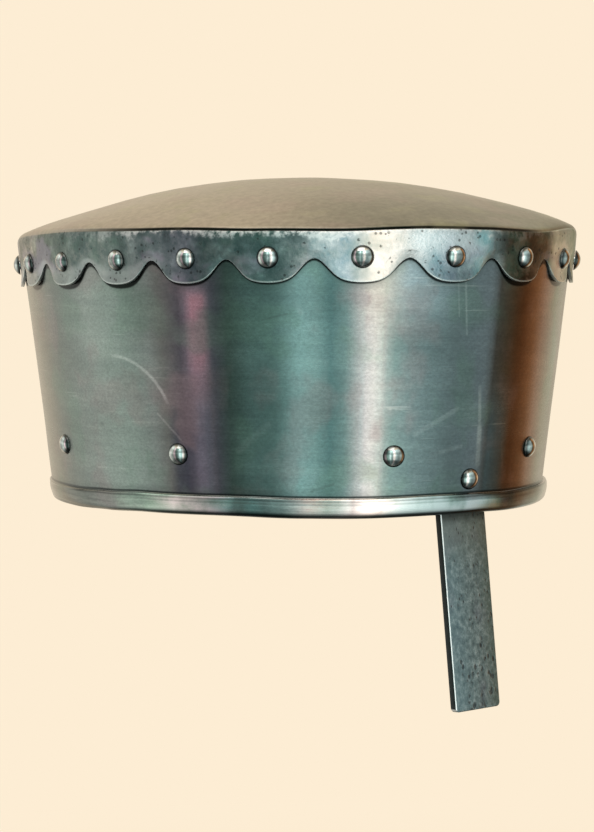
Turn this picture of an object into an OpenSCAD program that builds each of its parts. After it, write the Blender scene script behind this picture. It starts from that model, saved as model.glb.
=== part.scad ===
// Flat-topped nasal helmet: an oval skull band that widens upward, a domed crown plate riveted over
// it by a scalloped flange, a flat nasal bar, and a leather liner drawn together by a lace.
// Millimetres, +Z up. The nasal bar is at the front, towards -Y. The origin is the centre of the head
// opening, level with the lowest edge of the rim.

/* [Skull band] */
// Outside length of the rim, front to back
rim_length = 241; // [230:1:252]
// Outside width of the rim, side to side
rim_width = 203; // [195:1:214]
// How much longer the oval is at the crease of the crown than at the rim
flare = 30.6; // [20:0.2:38]
// Height of the crease of the crown above the rim
crease_height = 112; // [104:1:124]
// Thickness of the band's sheet
band_sheet = 1.6; // [1.2:0.1:2]
// Height of the hem folded up round the outside of the rim
hem_height = 8; // [6:0.5:10]
// How far the hem stands out from the band
hem_proud = 2; // [1.4:0.1:2.6]

/* [Crown plate] */
// Rise of the dome above the crease
dome_rise = 26; // [18:0.5:32]
// Fullness of the dome towards its edge, 0 for a plain bowl
dome_fullness = 0.4; // [0:0.05:0.6]
// Outside radius of the shoulder between dome and flange
shoulder_r = 4.5; // [3.5:0.1:6]
// Thickness of the crown plate's sheet
crown_sheet = 1.5; // [1.2:0.1:2]
// Number of scallops, each with its own rivet
scallop_count = 22; // [18:1:24]
// Distance from the crease down to the tips of the scallops
flange_depth = 20.5; // [18:0.5:24]
// Depth of the notches between the scallops
scallop_depth = 9; // [6:0.5:10]
// How far the tips of the scallops lift off the band
tip_lift = 0.9; // [0.2:0.1:1.2]
// Unevenness of the hand-marked scallops, as a share of their pitch
scallop_drift = 0.035; // [0:0.005:0.05]

/* [Rivets] */
// Diameter of the domed heads
head_d = 8.6; // [7:0.1:10]
// Height of the domed heads
head_h = 2.6; // [1.8:0.1:3.4]
// Diameter of the shanks
shank_d = 4; // [3:0.1:4.6]
// Diameter of the peened tails
tail_d = 6.2; // [5.4:0.1:7]
// Height of the peened tails
tail_h = 1.2; // [0.8:0.1:1.6]
// Distance from the crease down to the crown's rivets
crown_rivet_drop = 10.8; // [9.5:0.1:11.5]
// Height of the liner's rivets above the rim
liner_rivet_height = 24; // [22:0.5:27]
// Number of rivets round the liner's headband
liner_rivet_count = 9; // [7:1:11]
// Unevenness of the hand-marked liner rivets, as a share of their pitch
liner_drift = 0.066; // [0:0.002:0.08]
// Height of the nasal bar's lower rivet above the rim
nasal_rivet_height = 13.5; // [13:0.1:14]

/* [Nasal bar] */
// Width of the bar
nasal_width = 23; // [18:0.5:26]
// Thickness of the bar
nasal_thick = 3.5; // [2.5:0.1:4]
// How far the bar reaches below the rim
nasal_drop = 78; // [60:1:90]
// Forward lean of the bar below the rim, in degrees
nasal_lean = 7; // [2:0.5:10]
// Radius of the corners at the bar's tip
nasal_corner = 1.8; // [0.8:0.1:4]

/* [Liner] */
// Thickness of the leather of headband and tongues
leather = 2; // [1.6:0.1:2.4]
// Height of the headband's lower edge above the rim
headband_low = 17.5; // [17:0.5:19]
// Height of the headband's upper edge above the rim
headband_high = 52; // [46:1:56]
// Rise of the tongues from the headband to the crown of the head
tongue_rise = 50; // [40:1:52]
// Space between neighbouring tongues at the headband, as a share of their pitch
tongue_space = 0.1; // [0.06:0.01:0.2]
// Diameter of the lace
lace_d = 1.8; // [1.4:0.1:2]
// Diameter of the holes for the lace
lace_hole_d = 4.6; // [4.4:0.1:5.2]
// Outside diameter of the washers behind the liner's rivets
washer_d = 9.5; // [8.5:0.5:11]
// Thickness of the washers
washer_t = 1; // [0.8:0.1:1.2]

/* [Hidden] */
$fn = 48;

// Number of tongues, an even number, as the lace runs over one and under the next
tongue_count = 8;

// Gap between sheets that lie on each other
sheet_gap = 0.1;
// Gap all round a shank in its hole
shank_gap = 0.05;
// Gap under the heads and tails of the rivets
seat_gap = 0.15;
// How far a shank reaches into its head and its tail
shank_in = 0.3;
// Gap between leather and metal, and between two leathers
leather_gap = 0.25;

// Width of the oval over its length, the same at every height of the band
oval = rim_width / rim_length;
// Slope of the band's front and back, outward over upward
slope = flare / 2 / crease_height;
flare_angle = atan(slope);

// Half the outside length of the band at height z
function half_length(z) = rim_length / 2 + slope * z;

// Places round the oval are shares of its length, counted from the front centre
oval_steps = 180;
function oval_point(i) = [oval * sin(360 * i / oval_steps), -cos(360 * i / oval_steps)];
oval_table = [
    for (i = 0, s = 0; i <= oval_steps; s = s + norm(oval_point(i + 1) - oval_point(i)), i = i + 1)
        [s, 360 * i / oval_steps]
];
oval_round = oval_table[oval_steps][0];
function angle_at(share) = lookup((share - floor(share)) * oval_round, oval_table);

// Direction that the band's outside faces at a share, and the place there at height z and the
// horizontal distance off outside the band
function facing(share) = [sin(angle_at(share)) / oval, -cos(angle_at(share)), -slope];
function flat(v) = [v.x, v.y, 0] / norm([v.x, v.y]);
function band_point(share, z, off = 0) =
    [half_length(z) * oval * sin(angle_at(share)), -half_length(z) * cos(angle_at(share)), z]
        + off * flat(facing(share));

// Puts its children on the band's outside, their +Z straight out of the sheet
module on_band(share, z) {
    n = facing(share);
    translate(band_point(share, z))
        rotate([0, 90 - asin(n.z / norm(n)), atan2(n.y, n.x)])
            children();
}

// Triangles between two rings of points, and the list of all the rings' points
function strip(low, high, cols) = [
    for (j = [0 : cols - 1])
        let (k = (j + 1) % cols)
            each [
                [low * cols + j, low * cols + k, high * cols + k],
                [low * cols + j, high * cols + k, high * cols + j]
            ]
];
function joined(rows) = [for (row = rows) each row];
function turned(row) = [for (i = [len(row) - 1 : -1 : 0]) row[i]];

// A solid ring: each row is a ring of points, and the last row closes onto the first
module ring_loft(rows) {
    n = len(rows);
    polyhedron(
        points = joined(rows),
        faces = [for (r = [0 : n - 1]) each strip(r, (r + 1) % n, len(rows[0]))],
        convexity = 6
    );
}

// A cap: the rows run from the middle of the top out to the edge and back under to the middle
module cap_loft(rows, top, under) {
    n = len(rows);
    cols = len(rows[0]);
    polyhedron(
        points = concat(joined(rows), [top, under]),
        faces = concat(
            [for (j = [0 : cols - 1]) [n * cols, (j + 1) % cols, j]],
            [for (r = [0 : n - 2]) each strip(r, r + 1, cols)],
            [for (j = [0 : cols - 1]) [n * cols + 1, (n - 1) * cols + j, (n - 1) * cols + (j + 1) % cols]]
        ),
        convexity = 6
    );
}

// A long piece: each row is a ring of points round its section, out along one face and back along
// the other, and both ends are closed
module bar_loft(rows) {
    n = len(rows);
    cols = len(rows[0]);
    last = (n - 1) * cols;
    polyhedron(
        points = joined(rows),
        faces = concat(
            [for (r = [0 : n - 2]) each strip(r, r + 1, cols)],
            [for (c = [0 : cols / 2 - 2]) [c + 1, c, cols - 1 - c, cols - 2 - c]],
            [for (c = [0 : cols / 2 - 2])
                [last + c, last + c + 1, last + cols - 2 - c, last + cols - 1 - c]]
        ),
        convexity = 6
    );
}

// Rivets and their holes
crown_rivet_z = crease_height - crown_rivet_drop;
hole_reach = 12;
function crown_rivet_share(k) = scallop_share(k + 0.5);
liner_drift_run = 3;
liner_drift_start = 43;
function liner_share(k) =
    (k + 0.5 + liner_drift * cos(360 * (k + 0.5) / liner_drift_run + liner_drift_start))
        / liner_rivet_count;

module rivet_hole(share, z, d = shank_d) {
    on_band(share, z)
        translate([0, 0, -hole_reach])
            cylinder(d = d + 2 * shank_gap, h = 2 * hole_reach);
}

// A low dome of diameter d and height h on the plane z = 0
module button(d, h) {
    r = (d * d / 4 + h * h) / (2 * h);
    rotate_extrude()
        intersection() {
            translate([0, h - r])
                circle(r);
            square([d / 2, h]);
        }
}

// A rivet with its head over the height top and its tail under the height foot, both counted
// outward from the band's outside
module rivet(top, foot) {
    translate([0, 0, top])
        button(head_d, head_h);
    translate([0, 0, foot - shank_in])
        cylinder(d = shank_d, h = top - foot + 2 * shank_in);
    translate([0, 0, foot])
        mirror([0, 0, 1])
            button(tail_d, tail_h);
}

// Share of the oval at which the notch k, or the scallop k + 0.5, lies
drift_waves = 5;
function scallop_share(k) =
    (k + scallop_drift * cos(360 * drift_waves * k / scallop_count)) / scallop_count;

// Skull band
band_cols = 120;
band_top_gap = 0.5;
band_top_z = crease_height - shoulder_r / 2 - band_top_gap;
hem_r = (band_sheet + hem_proud) / 2;
hem_bulge = 0.3;
hem_edge = 0.8;

// Section of the band as [distance outside the band, height], from the outer top edge down round
// the fold of the hem and up the inside
band_section = [
    [0, band_top_z],
    [0, hem_height - hem_edge / 4],
    [hem_proud - hem_edge, hem_height],
    [hem_proud, hem_height - hem_edge],
    [hem_proud + hem_bulge, hem_height / 2],
    for (a = [330 : -30 : 180]) [hem_proud - hem_r + hem_r * cos(a), hem_r + hem_r * sin(a)],
    [-band_sheet, band_top_z]
];

module skull_band() {
    color("silver")
        difference() {
            ring_loft([
                for (p = band_section)
                    [for (j = [0 : band_cols - 1]) band_point(j / band_cols, p.y, p.x)]
            ]);
            for (k = [0 : scallop_count - 1])
                rivet_hole(crown_rivet_share(k), crown_rivet_z);
            for (k = [0 : liner_rivet_count - 1])
                rivet_hole(liner_share(k), liner_rivet_height);
            rivet_hole(0, nasal_rivet_height);
            on_band(0, flush_z)
                flush_rivet_body(shank_gap, -hole_reach);
        }
}

// Crown plate
scallop_cols = 8;
dome_steps = 6;
arc_steps = 4;
tip_z = crease_height - flange_depth;
lift_gap = 0.5;
lift_z = crown_rivet_z - head_d / 2 - lift_gap;
arc_z = crease_height - shoulder_r / 2;
flange_off = sheet_gap + crown_sheet;
arc_off = flange_off - shoulder_r * (cos(flare_angle) + slope * sin(flare_angle));
dome_edge_slope = atan(dome_rise * (2 + 2 * dome_fullness) / half_length(crease_height));

// Height of the scalloped edge above the tips: u is 0 at a tip and 1 at a notch. One share of the
// curve is pointed at the notches, and the rest is round there
scallop_point = 0.6;
function scallop_rise(u) =
    scallop_depth
        * (scallop_point * pow(u, 2) + (1 - scallop_point) * pow((1 - cos(180 * u)) / 2, 2));

// Height of the dome over its edge as a share of its rise, from r = 0 in the middle to 1 at the edge
function bowl(r) = (1 - dome_fullness) * (1 - pow(r, 2)) + dome_fullness * (1 - pow(r, 4));

// One face of the plate, the depth under its outer face: the points of the column at a share, from
// beside the middle of the dome, over the shoulder and down the flange to the scalloped edge
function crown_column(share, edge_z, depth) =
    let (
        r = shoulder_r - depth,
        rim = band_point(share, arc_z, arc_off + r * sin(dome_edge_slope)),
        rim_z = arc_z + r * cos(dome_edge_slope),
        rise = crease_height + dome_rise - depth - rim_z,
        off = flange_off - depth
    )
    [
        for (i = [1 : dome_steps - 1])
            [rim.x * i / dome_steps, rim.y * i / dome_steps, rim_z + rise * bowl(i / dome_steps)],
        for (i = [0 : arc_steps])
            let (a = 90 - dome_edge_slope - (90 - dome_edge_slope + flare_angle) * i / arc_steps)
                [0, 0, r * sin(a)] + band_point(share, arc_z, arc_off + r * cos(a)),
        band_point(share, max(lift_z, edge_z + 2 * lift_gap), off),
        band_point(share, edge_z, off + tip_lift * max(lift_z - edge_z, 0) / (lift_z - tip_z))
    ];

crown_columns = [
    for (k = [0 : scallop_count - 1], i = [0 : scallop_cols - 1])
        let (
            share = scallop_share(k + i / scallop_cols),
            edge_z = tip_z + scallop_rise(abs(1 - 2 * i / scallop_cols))
        )
            concat(
                crown_column(share, edge_z, 0),
                turned(crown_column(share, edge_z, crown_sheet))
            )
];

module crown_plate() {
    color("darkgray")
        difference() {
            cap_loft(
                [for (r = [0 : len(crown_columns[0]) - 1]) [for (c = crown_columns) c[r]]],
                [0, 0, crease_height + dome_rise],
                [0, 0, crease_height + dome_rise - crown_sheet]
            );
            for (k = [0 : scallop_count - 1])
                rivet_hole(crown_rivet_share(k), crown_rivet_z);
        }
}

// One rivet through flange and band in every scallop
module crown_rivets() {
    color("gainsboro")
        for (k = [0 : scallop_count - 1])
            on_band(crown_rivet_share(k), crown_rivet_z)
                rivet(flange_off + seat_gap, -band_sheet - seat_gap);
}

// Nasal bar: its upper leg lies flat inside the front of the band, and its lower leg leans forward
bend_z = 0.8;
bend_r = 6;
bend_steps = 6;
nasal_top_gap = 1.2;
nasal_top_z = band_top_z - nasal_top_gap;

// How deep the inside of the band bows away from the flat bar, and where the bar's front face lies
inner_length = half_length(0) - band_sheet;
inner_width = half_length(0) * oval - band_sheet;
bow = inner_length * (1 - sqrt(1 - pow(nasal_width / 2 / inner_width, 2)));
nasal_off = -band_sheet - bow - sheet_gap;
function nasal_y(z) = -half_length(z) - nasal_off;

// Centre of the bend, in front of the bar, as [y, z]
bend_half = (flare_angle + nasal_lean) / 2;
bend_reach = bend_r / cos(bend_half);
bend_tilt = flare_angle - bend_half;
bend_centre = [nasal_y(bend_z) - bend_reach * cos(bend_tilt), bend_z - bend_reach * sin(bend_tilt)];

// One face of the bar from its top to its tip, as [y, z]
function leg_end(z, angle, r) =
    let (t = (z - bend_centre.y - r * sin(angle)) / cos(angle))
        bend_centre + r * [cos(angle), sin(angle)] + t * [-sin(angle), cos(angle)];
function nasal_face(r) = [
    leg_end(nasal_top_z, flare_angle, r),
    for (i = [0 : bend_steps])
        let (a = flare_angle - 2 * bend_half * i / bend_steps)
            bend_centre + r * [cos(a), sin(a)],
    leg_end(-nasal_drop, -nasal_lean, r)
];

// Cuts the two corners at the tip to a radius
module tip_corner_cut() {
    tip = leg_end(-nasal_drop, -nasal_lean, bend_r);
    for (side = [-1, 1])
        translate([side * nasal_width / 2, tip.x, tip.y])
            rotate([90 - nasal_lean, 0, 0])
                translate([-side * nasal_corner, nasal_corner, -2 * nasal_thick])
                    linear_extrude(4 * nasal_thick)
                        difference() {
                            translate([side > 0 ? 0 : -2 * nasal_corner, -2 * nasal_corner])
                                square(2 * nasal_corner);
                            circle(nasal_corner);
                        }
}

module nasal_bar() {
    color("slategray")
        difference() {
            rotate([90, 0, 90])
                linear_extrude(nasal_width, center = true)
                    polygon(concat(nasal_face(bend_r), turned(nasal_face(bend_r + nasal_thick))));
            tip_corner_cut();
            rivet_hole(0, nasal_rivet_height);
            rivet_hole(0, flush_z, flush_shank_d);
        }
}

module nasal_rivet() {
    color("gainsboro")
        on_band(0, nasal_rivet_height)
            rivet(seat_gap, nasal_off - nasal_thick - seat_gap);
}

// The bar's upper rivet is filed flush, so that the flange can lie over it
flush_head_d = 5.6;
flush_head_h = 1.1;
flush_shank_d = 3.2;
flush_tail_d = 5.2;
flush_drop = 4;
flush_z = nasal_top_z - flush_drop;

// The flush rivet down to the height foot, or with a gap all round the cut for it
module flush_rivet_body(gap, foot) {
    rotate_extrude()
        polygon([
            [0, gap],
            [flush_head_d / 2 + gap, gap],
            [flush_shank_d / 2 + gap, -flush_head_h],
            [flush_shank_d / 2 + gap, foot],
            [0, foot]
        ]);
}

module nasal_flush_rivet() {
    foot = nasal_off - nasal_thick - seat_gap;
    color("gainsboro")
        on_band(0, flush_z) {
            translate([0, 0, -seat_gap])
                flush_rivet_body(0, foot + seat_gap - shank_in);
            translate([0, 0, foot])
                mirror([0, 0, 1])
                    button(flush_tail_d, tail_h);
        }
}

// Liner: a strip of leather round the inside runs over the bar and meets itself, with a small gap,
// between two of its rivets near the back
meeting_gap = 1.5;
meeting_share = floor(liner_rivet_count / 2) / liner_rivet_count;
meeting_half = meeting_gap / 2 / (oval_round * inner_length);
bar_side = 1;
bar_ramp = 10;
coarse_step = 0.02;
fine_step = 0.005;
front_half = 0.06;

// Distance outside the band at which the headband's outer face lies at a share
function ease(u) =
    let (v = min(max(u, 0), 1))
        v * v * (3 - 2 * v);
function headband_off(share) =
    let (
        p = band_point(share, headband_low),
        over = -nasal_off - band_sheet + nasal_thick,
        u = 1 - (abs(p.x) - nasal_width / 2 - bar_side) / bar_ramp
    )
        -band_sheet - leather_gap - (p.y < 0 ? over * ease(u) : 0);

headband_shares = concat(
    [meeting_share - 1 + meeting_half],
    [for (s = [meeting_share - 1 + coarse_step / 2 : coarse_step : -front_half - fine_step]) s],
    [for (s = [-front_half : fine_step : front_half + fine_step / 2]) s],
    [for (s = [front_half + coarse_step : coarse_step : meeting_share - fine_step]) s],
    [meeting_share - meeting_half]
);

module liner_headband() {
    color("saddlebrown")
        difference() {
            bar_loft([
                for (s = headband_shares)
                    let (off = headband_off(s))
                        [
                            band_point(s, headband_low, off),
                            band_point(s, headband_high, off),
                            band_point(s, headband_high, off - leather),
                            band_point(s, headband_low, off - leather)
                        ]
            ]);
            for (k = [0 : liner_rivet_count - 1])
                rivet_hole(liner_share(k), liner_rivet_height);
        }
}

// The washers are flat and lie in the hollow of the headband, which bows up under them
washer_bow = pow(washer_d / 2, 2) / (2 * oval * oval * half_length(liner_rivet_height));
washer_off = -band_sheet - leather_gap - leather - seat_gap - washer_bow;

module liner_washers() {
    color("gainsboro")
        for (k = [0 : liner_rivet_count - 1])
            on_band(liner_share(k), liner_rivet_height)
                translate([0, 0, washer_off - washer_t])
                    difference() {
                        cylinder(d = washer_d, h = washer_t);
                        translate([0, 0, -washer_t])
                            cylinder(d = shank_d + 2 * shank_gap, h = 3 * washer_t);
                    }
}

module liner_rivets() {
    color("gainsboro")
        for (k = [0 : liner_rivet_count - 1])
            on_band(liner_share(k), liner_rivet_height)
                rivet(seat_gap, washer_off - washer_t - sheet_gap);
}

// Tongues: each starts inside the headband's upper edge and follows the top of the head inward.
// Their angle runs from 0 at the headband to 90 over the middle of the head
sewn = 9;
tongue_low = headband_high - sewn;
tongue_end = 78;
lace_angle = 71;
tongue_angles = [0, 14, 28, 42, 55, 65, 72.5, 76, tongue_end];
tongue_half_cols = 3;
tongue_taper = 0.3;
tip_width = 0.2;
function tongue_share(k) = (k + 0.5) / tongue_count;

// Where the tongues' outer face leaves the headband at a share
function tongue_foot(share, z) =
    band_point(share, z, headband_off(share) - leather - leather_gap);

// A point of the head's shape: share round it, angle up over it, depth under the tongues' outer face
function head_point(share, angle, depth) =
    let (
        base = tongue_foot(share, headband_high),
        out = [cos(angle) * tongue_rise, sin(angle) * norm([base.x, base.y])]
    )
        [base.x * cos(angle), base.y * cos(angle), headband_high + tongue_rise * sin(angle)]
            - depth / norm(out) * (out.x * flat(base) + [0, 0, out.y]);

// Half of a tongue's width as a share of the oval: it narrows upward and ends round
function tongue_half(angle) =
    let (
        full = (1 - tongue_space) / 2 / tongue_count * (1 - tongue_taper * angle / tongue_end),
        tip = max(angle - lace_angle, 0) / (tongue_end - lace_angle)
    )
        full * sqrt(1 + tip_width * tip_width - tip * tip);

// One face of a tongue across its width, at an angle over the head or down inside the headband
function tongue_line(middle, angle, depth) = [
    for (i = [-tongue_half_cols : tongue_half_cols])
        head_point(middle + tongue_half(angle) * i / tongue_half_cols, angle, depth)
];
function sewn_line(middle, depth) = [
    for (i = [-tongue_half_cols : tongue_half_cols])
        let (share = middle + tongue_half(0) * i / tongue_half_cols)
            tongue_foot(share, tongue_low) - depth * flat(facing(share))
];
// Puts its children on the tongues' outer face, their +Z out of it and their +X down along it
module on_head(share, angle) {
    p = head_point(share, angle, 0);
    n = p - head_point(share, angle, 1);
    translate(p)
        rotate([0, acos(n.z / norm(n)), atan2(n.y, n.x)])
            children();
}

module liner_tongue(k) {
    middle = tongue_share(k);
    color("peru")
        difference() {
            bar_loft(concat(
                [concat(sewn_line(middle, leather), turned(sewn_line(middle, 0)))],
                [
                    for (a = tongue_angles)
                        concat(tongue_line(middle, a, leather), turned(tongue_line(middle, a, 0)))
                ]
            ));
            on_head(middle, lace_angle)
                translate([0, 0, -2 * leather])
                    cylinder(d = lace_hole_d, h = 4 * leather);
        }
}

// Lace: it runs round through the tongues' holes, under one and over the next. A stop is
// [share of the way to the next hole, share of the swing away from the leather's middle]
lace_stops = [[0, 0], [0.06, 0.82], [0.16, 1], [0.39, 1], [0.61, 1], [0.84, 1], [0.94, 0.82]];
lace_gap = 0.5;
lace_swing = leather / 2 + lace_d / 2 + lace_gap;
lace_sides = 6;
function lace_depth(k, swing) = leather / 2 + lace_swing * swing * (k % 2 == 0 ? 1 : -1);
lace_path = [
    for (k = [0 : tongue_count - 1], s = lace_stops)
        [tongue_share(k + s.x), lace_depth(k, s.y)]
];

module lace_loop() {
    n = len(lace_path);
    points = [for (p = lace_path) head_point(p[0], lace_angle, p[1])];
    ring_loft([
        for (i = [0 : n - 1])
            let (
                along = points[(i + 1) % n] - points[(i + n - 1) % n],
                up = head_point(lace_path[i][0], lace_angle + 1, 0)
                    - head_point(lace_path[i][0], lace_angle - 1, 0),
                across = cross(up, along)
            )
                [
                    for (a = [0 : 360 / lace_sides : 359])
                        points[i]
                            + lace_d / 2 * (cos(a) * up / norm(up) + sin(a) * across / norm(across))
                ]
    ]);
}

// It is knotted over the gap between the two tongues at the back, and its ends lie on the leather
knot_d = 4.4;
lace_end = 18;
end_spread = 28;

module liner_lace() {
    color("tan") {
        lace_loop();
        on_head(0.5, lace_angle)
            translate([0, 0, lace_swing - leather / 2]) {
                sphere(d = knot_d);
                for (side = [-1, 1])
                    rotate([0, 90, side * end_spread]) {
                        cylinder(d = lace_d, h = lace_end);
                        translate([0, 0, lace_end])
                            sphere(d = lace_d);
                    }
            }
    }
}

skull_band();
crown_plate();
crown_rivets();
nasal_bar();
nasal_rivet();
nasal_flush_rivet();
liner_headband();
liner_rivets();
liner_washers();
liner_tongue(0);  // liner_tongue_1
liner_tongue(1);  // liner_tongue_2
liner_tongue(2);  // liner_tongue_3
liner_tongue(3);  // liner_tongue_4
liner_tongue(4);  // liner_tongue_5
liner_tongue(5);  // liner_tongue_6
liner_tongue(6);  // liner_tongue_7
liner_tongue(7);  // liner_tongue_8
liner_lace();
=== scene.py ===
import bpy
import math
import random
from mathutils import Matrix, Vector


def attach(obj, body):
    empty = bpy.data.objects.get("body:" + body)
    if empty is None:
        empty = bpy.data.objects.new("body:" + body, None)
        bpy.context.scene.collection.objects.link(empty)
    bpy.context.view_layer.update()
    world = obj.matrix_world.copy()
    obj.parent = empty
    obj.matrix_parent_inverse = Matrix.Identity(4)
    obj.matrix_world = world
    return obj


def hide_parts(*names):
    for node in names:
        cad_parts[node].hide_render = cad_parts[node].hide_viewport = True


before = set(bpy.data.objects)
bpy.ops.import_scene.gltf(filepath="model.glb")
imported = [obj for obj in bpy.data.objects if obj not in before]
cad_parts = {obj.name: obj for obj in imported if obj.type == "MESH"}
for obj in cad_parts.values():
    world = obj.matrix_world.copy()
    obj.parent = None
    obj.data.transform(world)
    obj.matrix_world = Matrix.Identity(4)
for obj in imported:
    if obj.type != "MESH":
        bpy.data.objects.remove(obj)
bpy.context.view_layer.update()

# Camera: a long lens a little above the rim, to the left of the nasal bar, looking slightly down,
# as the photograph was taken.
bpy.ops.object.camera_add(
    location=(-0.48990, -0.69551, 0.08536),
    rotation=(math.radians(86.4624), math.radians(0.3625), math.radians(-35.3509)),
)
camera = bpy.context.active_object
camera.data.sensor_width = 36
camera.data.lens = 82.24
bpy.context.scene.camera = camera
bpy.context.scene.view_settings.view_transform = "Standard"

# Skull band: an oval hoop of 1.6 mm steel sheet that widens upward. Its lower edge is folded up
# round the outside as a hem. It is brushed level, all the way round, and the hem is polished.
RIM_LENGTH = 241.0
RIM_WIDTH = 203.0
FLARE = 30.6
CREASE = 112.0
BAND_SHEET = 1.6
BAND_TOP = 109.25
BAND_ROUND = 0.738
HEM_HEIGHT = 8.0
HEM_PROUD = 2.0
HEM_DIP = 3.0
HEM_FLATTENED = 1.1
OVAL = RIM_WIDTH / RIM_LENGTH
SLOPE = FLARE / 2 / CREASE


def half_length(z):
    """Half the band's outside length at height z."""
    return RIM_LENGTH / 2 + SLOPE * z


def level(z, off=0.0):
    """The oval at height z, off outside the band, as (half width, half length, height)."""
    return half_length(z) * OVAL + off, half_length(z) + off, z


def start(name, primitive, **settings):
    """A named primitive to shape, with nothing else selected."""
    bpy.ops.object.select_all(action="DESELECT")
    primitive(**settings)
    piece = bpy.context.active_object
    piece.name = name
    return piece


def only(piece):
    """Selects one piece and nothing else."""
    bpy.ops.object.select_all(action="DESELECT")
    bpy.context.view_layer.objects.active = piece
    piece.select_set(True)


def edit(piece):
    only(piece)
    bpy.ops.object.mode_set(mode="EDIT")


def pick(piece, wanted):
    """Selects the corners of a piece in edit mode for which wanted(place) is true."""
    bpy.ops.mesh.select_mode(type="VERT")
    bpy.ops.mesh.select_all(action="DESELECT")
    bpy.ops.object.mode_set(mode="OBJECT")
    for v in piece.data.vertices:
        v.select = wanted(v.co)
    bpy.ops.object.mode_set(mode="EDIT")


def raise_wall(name, rings, steps, close=()):
    """A wall drawn up ring by ring from (half width, half length, height), its ends closed if asked."""
    piece = start(name, bpy.ops.mesh.primitive_circle_add, vertices=steps, radius=1)
    width, length, height = rings[0]
    bpy.ops.object.mode_set(mode="EDIT")
    bpy.ops.transform.resize(value=(width, length, 1), center_override=(0, 0, 0))
    bpy.ops.transform.translate(value=(0, 0, height))
    for w, l, h in rings[1:]:
        bpy.ops.mesh.extrude_region_move(TRANSFORM_OT_translate={"value": (0, 0, h - height)})
        bpy.ops.transform.resize(value=(w / width, l / length, 1), center_override=(0, 0, h))
        width, length, height = w, l, h
    if "last" in close:
        bpy.ops.mesh.merge(type="CENTER")
    if "first" in close:
        w0, l0, h0 = rings[0]
        pick(
            piece,
            lambda at: abs(at.z - h0) < 1e-3 and abs((at.x / w0) ** 2 + (at.y / l0) ** 2 - 1) < 1e-3,
        )
        bpy.ops.mesh.merge(type="CENTER")
    bpy.ops.mesh.select_all(action="SELECT")
    bpy.ops.mesh.remove_doubles(threshold=0.001)
    bpy.ops.mesh.normals_make_consistent(inside=False)
    bpy.ops.object.mode_set(mode="OBJECT")
    return piece


def mark(piece, group, weight):
    """Marks the corners of a piece as a group, each by weight(place) from 0 to 1."""
    marked = piece.vertex_groups.new(name=group)
    for v in piece.data.vertices:
        marked.add([v.index], weight(v.co), "REPLACE")


def keep_on(piece, name, value):
    """Keeps value(place) on each corner of a piece, for its material to read."""
    kept = piece.data.attributes.new(name, "FLOAT", "POINT")
    for v in piece.data.vertices:
        kept.data[v.index].value = value(v.co)


def finish_with(piece, kind, **settings):
    """Adds a modifier and applies it."""
    only(piece)
    modifier = piece.modifiers.new(kind.lower(), kind)
    for key, value in settings.items():
        setattr(modifier, key, value)
    bpy.ops.object.modifier_apply(modifier=modifier.name)


def move(piece, group, direction, reach):
    """Moves a marked group along a direction, by reach where its weight is 1."""
    finish_with(piece, "DISPLACE", direction=direction, strength=reach, mid_level=0, vertex_group=group)


def uneven(piece, size, depth, group=""):
    """Leaves the slow waves that hand work leaves in a sheet."""
    waves = bpy.data.textures.new(piece.name + "_waves", "CLOUDS")
    waves.noise_scale = size
    waves.noise_depth = 1
    finish_with(
        piece, "DISPLACE", texture=waves, texture_coords="LOCAL", strength=depth, mid_level=0.5,
        vertex_group=group,
    )


def done(piece, material, slot, *nodes, smooth=35):
    """Brings a piece to metres, smooths it and seats it on the frame in place of its nodes."""
    only(piece)
    bpy.ops.transform.resize(value=(0.001, 0.001, 0.001), center_override=(0, 0, 0))
    bpy.ops.object.transform_apply(location=True, rotation=True, scale=True)
    bpy.ops.object.shade_smooth_by_angle(angle=math.radians(smooth))
    piece.data.materials.clear()
    piece.data.materials.append(material)
    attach(piece, "root")
    if nodes:
        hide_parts(*nodes)


def ease(t):
    """0 below 0, 1 above 1 and smooth between."""
    t = min(max(t, 0), 1)
    return t * t * (3 - 2 * t)


def along(bearing, *stops):
    """A smooth curve through (bearing, value) stops."""
    for (b0, v0), (b1, v1) in zip(stops, stops[1:]):
        if bearing <= b1:
            return v0 + (v1 - v0) * ease((bearing - b0) / (b1 - b0))
    return stops[-1][1]


def bearing_of(place):
    """The bearing of a place in degrees, from 0 in front and positive towards +X."""
    return math.degrees(math.atan2(place.x / OVAL, -place.y))


def hem_dip(place):
    """How far the hem hangs down, in millimetres: it was folded by eye, lower at both sides."""
    dip = along(
        bearing_of(place),
        (-180, 1.3), (-120, 2.4), (-97, 2.1), (-84, 1.2), (-73, 0.35), (-50, 0.0), (-38, 0.35), (-26, 0.5),
        (-10, 0.2), (1, 0.3), (14, 0.9), (40, 0.95), (110, 0.7), (180, 1.3),
    )
    return dip * ease((42 - place.z) / 32)


def hem_flatness(place):
    """How much of its bulge is hammered out of the hem: it is flatter on the left."""
    if place.z > HEM_HEIGHT + 0.8:
        return 0.0
    proud = (math.hypot(place.x / OVAL, place.y) / half_length(place.z) - 1) * RIM_LENGTH / 2.2
    return ease((58 - abs(bearing_of(place) + 128)) / 40) * min(max(proud - 0.3, 0) / 1.2, 1)


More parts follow.
